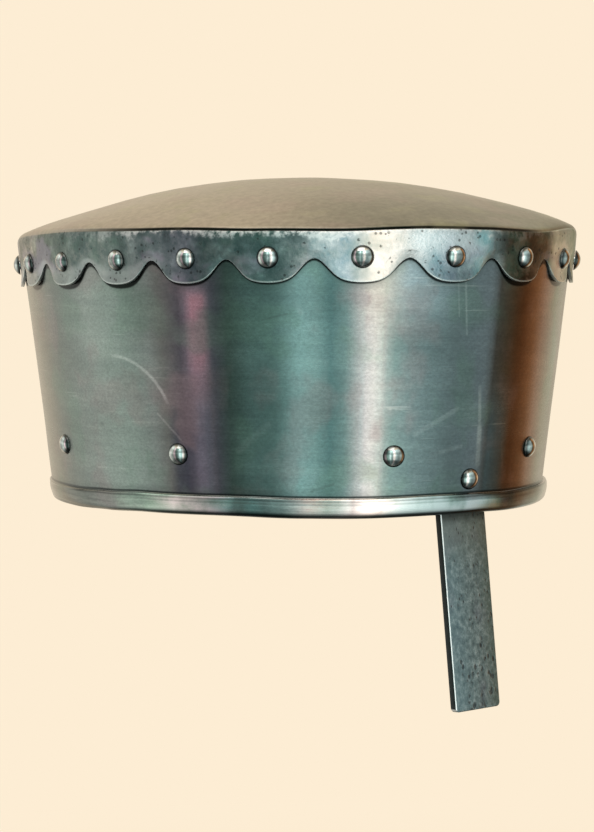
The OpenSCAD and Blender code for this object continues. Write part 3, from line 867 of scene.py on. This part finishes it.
def rivet(top, foot):
    """One rivet, its head over the height top and its tail under the height foot."""
    head, shank, tail = HEAD_D / 2, SHANK_D / 2, TAIL_D / 2
    rows = button_rings(HEAD_D, HEAD_H - HEAD_RIM, top + HEAD_RIM, 1)
    rows += [(head, head, top + 0.05), (head - RIM_BREAK, head - RIM_BREAK, top), (shank, shank, top)]
    rows += [(shank, shank, foot), (tail - RIM_BREAK, tail - RIM_BREAK, foot)]
    rows += reversed(button_rings(TAIL_D, TAIL_H - RIM_BREAK, foot - RIM_BREAK, -1))
    piece = raise_wall("rivet", rows, 36, close=("first", "last"))
    keep_on(piece, "rim", lambda place: math.hypot(place.x, place.y) / (head if place.z >= top else tail))
    return piece


def face_at(share, z):
    """The place on the band's outside at a share and height, and the way it faces."""
    a = angle_at(share)
    here = Vector((half_length(z) * OVAL * math.sin(a), -half_length(z) * math.cos(a), z))
    return here, Vector((math.sin(a) / OVAL, -math.cos(a), -SLOPE)).normalized()


def set_round(name, pattern, places, wobble=0.0):
    """Copies a piece to (share, height) places on the band, or off it, and joins the copies."""
    copies = []
    for share, z, *off in places:
        copy = pattern.copy()
        copy.data = pattern.data.copy()
        bpy.context.collection.objects.link(copy)
        here, way = face_at(share, z)
        here = here + way * sum(off)
        turn = way.to_track_quat("Z", "Y").to_matrix().to_4x4()
        spin = random.uniform(0, math.tau) if wobble else 0.0
        lean = Matrix.Rotation(random.uniform(-wobble, wobble), 4, "X") @ Matrix.Rotation(spin, 4, "Z")
        size = Matrix.Scale(1 + random.uniform(-wobble, wobble) * 0.8, 4)
        seat = turn @ lean @ size
        copy.matrix_world = Matrix.Translation(here) @ seat
        # How high each of its corners stands over its middle, in half head widths
        keep_on(copy, "rise", lambda place: (seat @ place).z / (HEAD_D / 2))
        copies.append(copy)
    bpy.data.objects.remove(pattern)
    bpy.ops.object.select_all(action="DESELECT")
    for copy in copies:
        copy.select_set(True)
    bpy.context.view_layer.objects.active = copies[0]
    bpy.ops.object.transform_apply(location=True, rotation=True, scale=True)
    if len(copies) > 1:
        bpy.ops.object.join()
    piece = bpy.context.active_object
    piece.name = name
    return piece


def liner_share(k):
    """Where the liner's rivets stand, marked out by hand and not quite even."""
    return (k + 0.5 + 0.066 * math.cos(math.radians(120 * (k + 0.5) + 43))) / LINER_RIVETS


random.seed(11)
scallop_middles = [k + 0.5 for k in range(SCALLOPS)]
crown_rivets = set_round(
    "crown_rivet_set",
    rivet(FLANGE_OFF + SEAT_GAP, -BAND_SHEET - SEAT_GAP),
    [((k + scallop_sway(k)) / SCALLOPS, CROWN_RIVET_Z) for k in scallop_middles],
    0.03,
)
done(crown_rivets, rivet_steel, "rivet_steel", "crown_rivets", smooth=50)
washer_off = -BAND_SHEET - LEATHER_GAP - LEATHER - SEAT_GAP - WASHER_BOW
liner_rivets = set_round(
    "liner_rivet_set",
    rivet(SEAT_GAP, washer_off - WASHER_T - TAIL_GAP),
    [(liner_share(k), LINER_RIVET_Z) for k in range(LINER_RIVETS)],
    0.03,
)
done(liner_rivets, rivet_steel, "rivet_steel", "liner_rivets", smooth=50)

# Nasal bar: a straight flat bar. Its upper leg lies flat inside the front of the band, and it is
# bent at the rim so that it leans forward over the nose. Its faces are as rolled, grey and pitted.
NASAL_WIDTH = 23.0
NASAL_THICK = 3.5
NASAL_DROP = 78.0
NASAL_LEAN = math.radians(7)
NASAL_CORNER = 1.8
NASAL_SUNK = 1.2
NASAL_GAP = 0.1
NASAL_RIVET_Z = 13.5
BEND_Z = 0.8
BEND_R = 6.0
nasal_top = BAND_TOP - NASAL_SUNK
inner_length = half_length(0) - BAND_SHEET
inner_width = half_length(0) * OVAL - BAND_SHEET
bow = inner_length * (1 - math.sqrt(1 - (NASAL_WIDTH / 2 / inner_width) ** 2))
nasal_off = -BAND_SHEET - bow - NASAL_GAP
nasal_foot = nasal_off - NASAL_THICK - SEAT_GAP
bend_half = (flare_angle + NASAL_LEAN) / 2
bend_tilt = flare_angle - bend_half
bend_y = -half_length(BEND_Z) - nasal_off - BEND_R / math.cos(bend_half) * math.cos(bend_tilt)
bend_z = BEND_Z - BEND_R / math.cos(bend_half) * math.sin(bend_tilt)


def leg_at(z, angle):
    """The middle of the bar's face at a height, on the leg that leans by angle from the bend."""
    t = (z - bend_z - BEND_R * math.sin(angle)) / math.cos(angle)
    return bend_y + BEND_R * math.cos(angle) - t * math.sin(angle), z


def flip(piece):
    """Turns all faces of a sheet the other way."""
    edit(piece)
    bpy.ops.mesh.select_all(action="SELECT")
    bpy.ops.mesh.flip_normals()
    bpy.ops.object.mode_set(mode="OBJECT")


stations = [leg_at(nasal_top, flare_angle), leg_at(50, flare_angle)]
for i in range(9):
    a = flare_angle - 2 * bend_half * i / 8
    stations.append((bend_y + BEND_R * math.cos(a), bend_z + BEND_R * math.sin(a)))
stations += [leg_at(z, -NASAL_LEAN) for z in (-15, -30, -45, -60, -NASAL_DROP)]
nasal_bar = start("nasal_bar_forging", bpy.ops.mesh.primitive_plane_add, size=1)
edit(nasal_bar)
bpy.ops.transform.resize(value=(NASAL_WIDTH, 1, 1))
(y0, z0), (y1, z1) = stations[:2]
pick(nasal_bar, lambda place: place.y > 0)
bpy.ops.transform.translate(value=(0, y0 - 0.5, z0))
pick(nasal_bar, lambda place: place.z < 1)
bpy.ops.transform.translate(value=(0, y1 + 0.5, z1))
for y, z in stations[2:]:
    bpy.ops.mesh.extrude_region_move(TRANSFORM_OT_translate={"value": (0, y - y1, z - z1)})
    y1, z1 = y, z
bpy.ops.mesh.bevel(offset=NASAL_CORNER, segments=6, affect="VERTICES")
bpy.ops.mesh.select_all(action="SELECT")
bpy.ops.mesh.normals_make_consistent(inside=False)
bpy.ops.object.mode_set(mode="OBJECT")
if sum(p.normal.y for p in nasal_bar.data.polygons) > 0:
    flip(nasal_bar)
finish_with(nasal_bar, "SOLIDIFY", thickness=NASAL_THICK, offset=-1)
break_edges(nasal_bar, 0.45, 3)

nasal_steel, tree, shader = steel("nasal_steel")
place = place_on(tree)
sides = sides_of(tree, place)
across, height = sides[0], sides[2]
mottle = cloud(tree, place, (1, 1, 0.7), 560.0, 5.0, 0.75)
patches = cloud(tree, place, (1, 1, 0.6), 70.0, 3.0, 0.5)
pit_patches = cloud(tree, place, (1, 1, 1), 150.0, 3.0, 0.6)
tone = shades(tree, mottle, (0.28, 78, 86, 88), (0.5, 128, 138, 138), (0.72, 182, 188, 188))
tone = tinted(tree, tone, between(tree, patches, 0.5, 0.64), 0.4, 120, 112, 124)
tone = tinted(tree, tone, between(tree, across, 0.002, -0.009), 0.3, 112, 136, 146)
tone = tinted(tree, tone, between(tree, across, 0.004, 0.011), 0.4, 104, 122, 108)
tone = tinted(tree, tone, between(tree, height, -0.026, -0.004), 0.5, 130, 128, 116)
# A painted shadow on the bar just under the band's hem
tone = tinted(tree, tone, between(tree, height, -0.0055, -0.001), 0.7, 44, 42, 38)
drawn_out = lay(tree, "ShaderNodeMapping", place, None, None, (1, 1, 0.6)).outputs[0]
pits = lay(tree, "ShaderNodeTexVoronoi", drawn_out, None, 560.0).outputs["Distance"]
pit_size = sum_of(tree, "MULTIPLY_ADD", between(tree, height, -0.03, -0.07), 0.2, 0.2)
pit = between(tree, sum_of(tree, "SUBTRACT", pits, pit_size), 0.08, -0.08)
pit = times(tree, pit, between(tree, pit_patches, 0.48, 0.6))
tone = tinted(tree, tone, pit, 0.65, 44, 42, 48)
# A painted highlight along one long edge of the bar, and painted shade on its side faces
edge_highlight = window(tree, across, -0.01146, -0.01138, -0.0111, -0.01085)
tone = tinted(tree, tone, edge_highlight, 0.75, 255)
side_face_shade = between(tree, sum_of(tree, "ABSOLUTE", across), 0.01138, 0.01146)
tone = tinted(tree, tone, side_face_shade, 0.93, 14, 18, 16)
rough = sum_of(tree, "MULTIPLY_ADD", mottle, 0.25, 0.3)
surface(tree, shader, tone, rough, sum_of(tree, "SUBTRACT", mottle, pit), 0.3, 0.0004)
done(nasal_bar, nasal_steel, "nasal_steel", "nasal_bar")

nasal_rivet = set_round("nasal_bar_rivet", rivet(SEAT_GAP, nasal_foot), [(0.0, NASAL_RIVET_Z)], 0.01)
done(nasal_rivet, rivet_steel, "rivet_steel", "nasal_rivet", smooth=50)

# Flush rivet: a small steel rivet that holds the top of the bar under the flange. Its head fills a
# countersunk hole and is filed level with the band, so that the flange can pass over it.
FLUSH_HEAD_D = 5.6
FLUSH_HEAD_H = 1.1
FLUSH_SHANK_D = 3.2
FLUSH_TAIL_D = 5.2
FLUSH_SUNK = 0.15
FLUSH_DOWN = 4.0
head, shank, tail = FLUSH_HEAD_D / 2, FLUSH_SHANK_D / 2, FLUSH_TAIL_D / 2 - RIM_BREAK
flush_rows = [(0.4, -FLUSH_SUNK), (head, -FLUSH_SUNK), (shank, -FLUSH_SUNK - FLUSH_HEAD_H)]
flush_rows += [(shank, nasal_foot), (tail, nasal_foot)]
flush_rings = [(r, r, z) for r, z in flush_rows]
flush_rings += reversed(button_rings(FLUSH_TAIL_D, TAIL_H - RIM_BREAK, nasal_foot - RIM_BREAK, -1))
flush = raise_wall("flush", flush_rings, 32, close=("first", "last"))
flush_rivet = set_round("nasal_flush_rivet_turned", flush, [(0.0, nasal_top - FLUSH_DOWN)])
done(flush_rivet, rivet_steel, "rivet_steel", "nasal_flush_rivet", smooth=50)

# Headband: a strip of 2 mm tanned leather inside the rim. Nine rivets hold it, its ends meet at the
# back, and it bows inward where it passes over the nasal bar.
HEADBAND_LOW = 17.5
HEADBAND_HIGH = 52.0
HEADBAND_ROUND = 697.0
MEETING = 4 / 9
MEETING_HALF = 0.38
bulge = -nasal_off - BAND_SHEET + NASAL_THICK


def bulge_share(share):
    """1 over the nasal bar and 0 beside it."""
    a = angle_at(share)
    x = half_length(HEADBAND_LOW) * OVAL * math.sin(a)
    return ease(1 - (abs(x) - NASAL_WIDTH / 2 - 1) / 10) if math.cos(a) > 0 else 0.0


def headband_off(share):
    """How far outside the band the headband's outer face lies."""
    return -BAND_SHEET - LEATHER_GAP - bulge * bulge_share(share)


def cut_away(piece, unwanted):
    """Cuts off the corners of a piece for which unwanted(place) is true."""
    edit(piece)
    pick(piece, unwanted)
    bpy.ops.mesh.delete(type="VERT")
    bpy.ops.object.mode_set(mode="OBJECT")


def face_outward(piece):
    """Turns an open sheet's faces away from the middle of the helmet."""
    if sum(p.normal.dot(p.center) * p.area for p in piece.data.polygons) < 0:
        flip(piece)


def leather(name, dark, middle, light):
    """A grained leather material."""
    material, tree, shader = new_finish(name)
    shader.inputs["Specular IOR Level"].default_value = 0.35
    place = place_on(tree)
    worn = cloud(tree, place, (1, 1, 1), 26.0, 5.0, 0.6)
    creases = cloud(tree, place, (1, 1, 2.5), 160.0, 6.0, 0.72)
    grain = lay(tree, "ShaderNodeTexVoronoi", place, None, 1100.0).outputs["Distance"]
    tone = shades(tree, worn, (0.3, *dark), (0.5, *middle), (0.7, *light))
    tone = mottled(tree, tone, 0.5, creases, (0.35, 84), (0.65, 170, 168, 164))
    tone = mottled(tree, tone, 0.25, grain, (0.05, 80), (0.45, 150))
    rough = sum_of(tree, "MULTIPLY_ADD", worn, -0.35, 0.78)
    surface(tree, shader, tone, rough, sum_of(tree, "MULTIPLY_ADD", grain, 0.35, creases), 0.5, 0.0005)
    return material


headband_heights = (HEADBAND_LOW, 21, 25, 30, 35, 40, 44, 48, HEADBAND_HIGH)
headband_rings = [level(z, -BAND_SHEET - LEATHER_GAP) for z in headband_heights]
headband = raise_wall("liner_headband_strip", headband_rings, 880)
cut_away(headband, lambda place: abs(share_at(place) - MEETING) * HEADBAND_ROUND < MEETING_HALF)
face_outward(headband)
mark(headband, "over_bar", lambda place: bulge_share(share_at(place)))
move(headband, "over_bar", "NORMAL", -bulge)
uneven(headband, 14.0, 0.25)
finish_with(headband, "SOLIDIFY", thickness=LEATHER, offset=-1)
break_edges(headband, 0.45, 3)
liner_leather = leather("liner_leather", (78, 48, 29), (112, 73, 45), (142, 98, 64))
done(headband, liner_leather, "liner_leather", "liner_headband")

# Washers: round steel washers with a punched hole, under the tails of the liner's rivets, so that
# the rivets hold the leather and don't pull through it.
WASHER_D = 9.5
WASHER_HOLE_D = 4.4
hole, flat, edge = WASHER_HOLE_D / 2, WASHER_D / 2 - 0.25, WASHER_D / 2
washer_rows = ((hole, 0), (flat, 0), (edge - 0.05, -0.1), (edge, -0.25), (edge, 0.25 - WASHER_T))
washer_rows += ((edge - 0.05, 0.1 - WASHER_T), (flat, -WASHER_T), (hole, -WASHER_T), (hole, 0))
washers = set_round(
    "liner_washer_set",
    raise_wall("washer", [(r, r, z) for r, z in washer_rows], 40),
    [(liner_share(k), LINER_RIVET_Z, washer_off) for k in range(LINER_RIVETS)],
)
done(washers, rivet_steel, "rivet_steel", "liner_washers")

# Tongues: eight leather tongues sewn inside the headband's upper edge. They follow the top of the
# head inward, narrow toward their round tips, and have a punched hole for the lace near the tip.
TONGUES = 8
TONGUE_RISE = 50.0
TONGUE_END = 78.0
LACE_RISE = 71.0
LACE_HOLE_D = 4.6
SEWN = 9.0
EDGE_CURL = 0.7
rises = [-SEWN, -6, -3, 0] + [3.5 * i for i in range(1, 21)] + [72, 74, 75.5, 76.7, 77.5, TONGUE_END]


def tongue_point(share, rise):
    """A place on the tongues' outer face and the way it faces: rise in degrees over the head, or
    in millimetres where it is below the headband's edge."""
    a = angle_at(share)
    z = HEADBAND_HIGH + min(rise, 0)
    out = Vector((math.sin(a) / OVAL, -math.cos(a), 0)).normalized()
    foot = Vector((half_length(z) * OVAL * math.sin(a), -half_length(z) * math.cos(a), 0))
    foot += out * (headband_off(share) - LEATHER - LEATHER_GAP)
    if rise <= 0:
        return foot + Vector((0, 0, z)), out
    c, s = math.cos(math.radians(rise)), math.sin(math.radians(rise))
    way = foot.normalized() * c * TONGUE_RISE + Vector((0, 0, s * foot.length))
    return foot * c + Vector((0, 0, z + TONGUE_RISE * s)), way.normalized()


def tongue_half(rise):
    """Half of a tongue's width as a share of the oval: it narrows upward and ends round."""
    tip = max(rise - LACE_RISE, 0) / (TONGUE_END - LACE_RISE)
    return 0.45 / TONGUES * (1 - 0.3 * max(rise, 0) / TONGUE_END) * math.sqrt(1.04 - tip**2)


for k in range(TONGUES):
    tongue = start(
        f"liner_tongue_{k + 1}_cut", bpy.ops.mesh.primitive_grid_add,
        x_subdivisions=20, y_subdivisions=len(rises) - 1, size=1,
    )
    free = tongue.vertex_groups.new(name="free")
    for v in tongue.data.vertices:
        across = v.co.x * 2
        rise = rises[round((v.co.y + 0.5) * (len(rises) - 1))]
        loose = min(max(rise, 0) / 25, 1)
        here, way = tongue_point((k + 0.5) / TONGUES + tongue_half(rise) * across, rise)
        v.co = here + way * EDGE_CURL * loose * across**4
        free.add([v.index], loose, "REPLACE")
    face_outward(tongue)
    uneven(tongue, 24.0, 1.0, "free")
    finish_with(tongue, "SOLIDIFY", thickness=LEATHER, offset=-1)
    here, way = tongue_point((k + 0.5) / TONGUES, LACE_RISE)
    punch = start(
        "punch", bpy.ops.mesh.primitive_cylinder_add, vertices=28, radius=LACE_HOLE_D / 2, depth=12,
        location=here, rotation=way.to_track_quat("Z", "Y").to_euler(),
    )
    finish_with(tongue, "BOOLEAN", operation="DIFFERENCE", object=punch, solver="EXACT")
    bpy.data.objects.remove(punch)
    break_edges(tongue, 0.4, 2)
    done(tongue, liner_leather, "liner_leather", f"liner_tongue_{k + 1}", smooth=50)

# Stitches: two rows of waxed linen thread through each tongue and the headband, sewn by hand with an
# awl. Each stitch shows as a short round bead of thread on the inside of the tongue.
STITCH_HALF = (1.5, 0.5, 0.42)
STITCH_STEP = 4.3
STITCH_ROWS = (45.3, 49.6)
stitch = start("stitch", bpy.ops.mesh.primitive_uv_sphere_add, segments=8, ring_count=6, radius=1)
edit(stitch)
bpy.ops.transform.resize(value=STITCH_HALF, center_override=(0, 0, 0))
bpy.ops.object.mode_set(mode="OBJECT")
stitch_places = []
for k in range(TONGUES):
    for z in STITCH_ROWS:
        for i in range(-8, 9):
            share = (k + 0.5) / TONGUES + i * STITCH_STEP / HEADBAND_ROUND
            stitch_places.append((share, z, headband_off(share) - 2 * LEATHER - LEATHER_GAP - 0.1))
stitches = set_round("liner_stitch_rows", stitch, stitch_places)
linen, tree, shader = new_finish("linen_thread")
place = place_on(tree)
twist = cloud(tree, place, (1, 1, 3), 900.0, 3.0, 0.6)
tree.links.new(shades(tree, twist, (0.35, 150, 130, 98), (0.65, 202, 186, 152)), shader.inputs["Base Color"])
tree.links.new(sum_of(tree, "MULTIPLY_ADD", twist, 0.3, 0.5), shader.inputs["Roughness"])
done(stitches, linen, "lace_leather", smooth=60)

# Lace: a round leather lace that runs through the tongues' holes, under one and over the next, and
# draws them together. It is knotted at the back, and its two ends lie on the leather.
LACE_D = 1.8
LACE_SWING = LEATHER / 2 + LACE_D / 2 + 0.5
KNOT_R = 0.62
KNOT_DEPTH = 0.7
lace_line = bpy.data.curves.new("lace_line", "CURVE")
lace_line.dimensions = "3D"
lace_line.bevel_depth = LACE_D / 2
lace_line.bevel_resolution = 2
lace_line.use_fill_caps = True


def run_lace(places, closed):
    """Lays a length of the lace through places."""
    run = lace_line.splines.new("BEZIER")
    run.bezier_points.add(len(places) - 1)
    run.use_cyclic_u = closed
    run.resolution_u = 5
    for point, here in zip(run.bezier_points, places):
        point.co = here
        point.handle_left_type = point.handle_right_type = "AUTO"


loop = []
for k in range(TONGUES):
    side = 1 if k % 2 == 0 else -1
    for onward, swing in ((0, 0), (0.06, 0.82), (0.16, 1), (0.39, 1), (0.61, 1), (0.84, 1), (0.94, 0.82)):
        here, way = tongue_point((k + onward + 0.5) / TONGUES, LACE_RISE)
        loop.append(here - way * (LEATHER / 2 + LACE_SWING * swing * side))
run_lace(loop, True)
here, way = tongue_point(0.5, LACE_RISE)
knot = here + way * (LACE_SWING - LEATHER / 2)
down = (tongue_point(0.5, LACE_RISE - 1)[0] - tongue_point(0.5, LACE_RISE + 1)[0]).normalized()
beside = way.cross(down)
turns = []
for i in range(18):
    t = math.tau * i / 18
    turns.append(
        knot
        + down * KNOT_R * (math.sin(t) + 2 * math.sin(2 * t))
        + beside * KNOT_R * (math.cos(t) - 2 * math.cos(2 * t))
        - way * KNOT_DEPTH * math.sin(3 * t)
    )
run_lace(turns, True)
for side in (-1, 1):
    end = [knot]
    for far, spread in ((4, 1.4), (8, 3.6), (12, 5.6), (16, 6.9), (18.4, 7.3)):
        here, way = tongue_point(0.5, LACE_RISE - far * 0.95)
        end.append(here + way * (LACE_D / 2 + 0.9) + beside * side * spread)
    run_lace(end, False)
lace = bpy.data.objects.new("liner_lace_run", lace_line)
bpy.context.collection.objects.link(lace)
only(lace)
bpy.ops.object.convert(target="MESH")
lace = bpy.context.active_object
lace_leather = leather("lace_leather", (116, 82, 50), (150, 112, 74), (176, 138, 96))
done(lace, lace_leather, "lace_leather", "liner_lace", smooth=60)

# Floor and backdrop: one pale cream ground well below the helmet, which is held up as on a head or
# a stand. Far from the helmet the floor passes into the same cream that stands behind it.
GROUND = colour(253, 237, 212)
floor = start("floor", bpy.ops.mesh.primitive_plane_add, size=24, location=(0, 0, -0.6))
floor_paint, tree, shader = new_finish("floor_paint")
shader.inputs["Base Color"].default_value = GROUND
shader.inputs["Roughness"].default_value = 0.9
shader.inputs["Specular IOR Level"].default_value = 0.1
glow = lay(tree, "ShaderNodeEmission", GROUND, 1.0)
ray = lay(tree, "ShaderNodeLightPath")
seen = sum_of(tree, "MAXIMUM", ray.outputs["Is Camera Ray"], ray.outputs["Is Glossy Ray"])
place = place_on(tree)
far = times(tree, seen, between(tree, vector(tree, "LENGTH", place), 0.35, 1.7))
both = lay(tree, "ShaderNodeMixShader", far, shader.outputs[0], glow.outputs[0])
below = lay(tree, "ShaderNodeNewGeometry").outputs["Backfacing"]
clear = lay(tree, "ShaderNodeBsdfTransparent")
both = lay(tree, "ShaderNodeMixShader", below, both.outputs[0], clear.outputs[0])
tree.links.new(both.outputs[0], tree.nodes["Material Output"].inputs["Surface"])
floor.data.materials.append(floor_paint)

# World: soft white light all round, which the camera and polished metal see as the cream backdrop
world = bpy.data.worlds.new("studio")
bpy.context.scene.world = world
world.use_nodes = True
tree = world.node_tree
tree.nodes.clear()
ray = lay(tree, "ShaderNodeLightPath")
seen = sum_of(tree, "MAXIMUM", ray.outputs["Is Camera Ray"], ray.outputs["Is Glossy Ray"])
seen = sum_of(tree, "MAXIMUM", seen, ray.outputs["Is Transmission Ray"])
soft = lay(tree, "ShaderNodeBackground", colour(238, 238, 240), 0.8)
ground = lay(tree, "ShaderNodeBackground", GROUND, 1.0)
both = lay(tree, "ShaderNodeMixShader", seen, soft.outputs[0], ground.outputs[0])
lay(tree, "ShaderNodeOutputWorld", both.outputs[0])

# Studio screen: a curved grey screen stands round the camera's side, out of view, over a dark cloth
# on the ground. It is lit in soft strips, and only what is polished shows it.
SCREEN_AWAY = 1.35
SCREEN_POWER = 3.4
SCREEN_FROM, SCREEN_TO = -172, 118


def off_screen(place):
    """Whether a place lies past the screen's two ends."""
    return not SCREEN_FROM < math.degrees(math.atan2(place.x, -place.y)) < SCREEN_TO


screen_light, tree, shader = new_finish("screen_light")
tree.nodes.clear()
sides = sides_of(tree, place_on(tree))
strips = shades_round(
    tree, bearing_on(tree, sides),
    (SCREEN_FROM, 155, 149, 138),
    (-152, 151, 152, 146),
    (-141, 159, 157, 153),
    (-123, 160, 168, 159),
    (-112, 120, 127, 120),
    (-95, 172, 148, 153),
    (-88, 86, 92, 89),
    (-78, 72, 90, 82),
    (-66, 88, 107, 103),
    (-57, 122, 144, 140),
    (-49, 180, 200, 197),
    (-42, 143, 169, 163),
    (-35, 112, 142, 136),
    (-28, 162, 174, 173),
    (-22, 232, 225, 222),
    (-17, 255, 246, 235),
    (-12, 248, 232, 222),
    (-6, 166, 182, 181),
    (8, 131, 148, 146),
    (30, 111, 122, 121),
    (47, 114, 121, 116),
    (52, 88, 86, 74),
    (57, 72, 58, 40),
    (66, 92, 62, 38),
    (80, 138, 96, 62),
    (91, 146, 126, 103),
    (104, 151, 147, 130),
    (SCREEN_TO, 159, 153, 135),
)
high = window(tree, sides[2], 0.0, 0.25, 0.45, 0.85)
strength = sum_of(tree, "MULTIPLY_ADD", high, -0.48 * SCREEN_POWER, SCREEN_POWER)
reach = vector(tree, "LENGTH", lay(tree, "ShaderNodeCombineXYZ", sides[0], sides[1]).outputs[0])
near = sum_of(tree, "MULTIPLY_ADD", between(tree, reach, 1.2, 0.5), -0.8, 1.0)
shine = lay(tree, "ShaderNodeEmission", strips, times(tree, strength, near))
lay(tree, "ShaderNodeOutputMaterial", shine.outputs[0])
screen = start(
    "screen", bpy.ops.mesh.primitive_cylinder_add, vertices=96, radius=SCREEN_AWAY, depth=1.9,
    end_fill_type="NOTHING", location=(0, 0, 0.35),
)
cut_away(screen, off_screen)
bpy.ops.object.transform_apply(location=True, rotation=True, scale=True)
cloth = start(
    "dark_cloth", bpy.ops.mesh.primitive_circle_add, vertices=96, radius=SCREEN_AWAY, fill_type="TRIFAN",
    location=(0, 0, -0.59),
)
cut_away(cloth, lambda place: place.length > 0.1 and off_screen(place))
bpy.ops.object.transform_apply(location=True, rotation=True, scale=True)
for flag in (screen, cloth):
    flag.data.materials.append(screen_light)
    for hidden in ("visible_camera", "visible_diffuse", "visible_transmission", "visible_shadow"):
        setattr(flag, hidden, False)


# Studio lights: a broad soft box overhead towards the camera's side and a smaller one to the left
def soft_box(name, bearing, rise, away, width, tall, power, tint):
    """bearing in degrees from the front towards +X, rise above level, away in metres"""
    b, r = math.radians(bearing), math.radians(rise)
    at = Vector((math.sin(b) * math.cos(r), -math.cos(b) * math.cos(r), math.sin(r))) * away
    bpy.ops.object.light_add(type="AREA", location=at)
    lamp = bpy.context.active_object
    lamp.name = name
    lamp.rotation_euler = at.to_track_quat("Z", "Y").to_euler()
    lamp.data.shape = "RECTANGLE"
    lamp.data.size = width
    lamp.data.size_y = tall
    lamp.data.energy = power
    lamp.data.color = tint


soft_box("overhead", -50, 62, 1.6, 1.3, 0.9, 7, (1.0, 0.98, 0.95))
soft_box("side", -120, 20, 1.7, 0.5, 0.9, 2, (1.0, 0.99, 0.97))
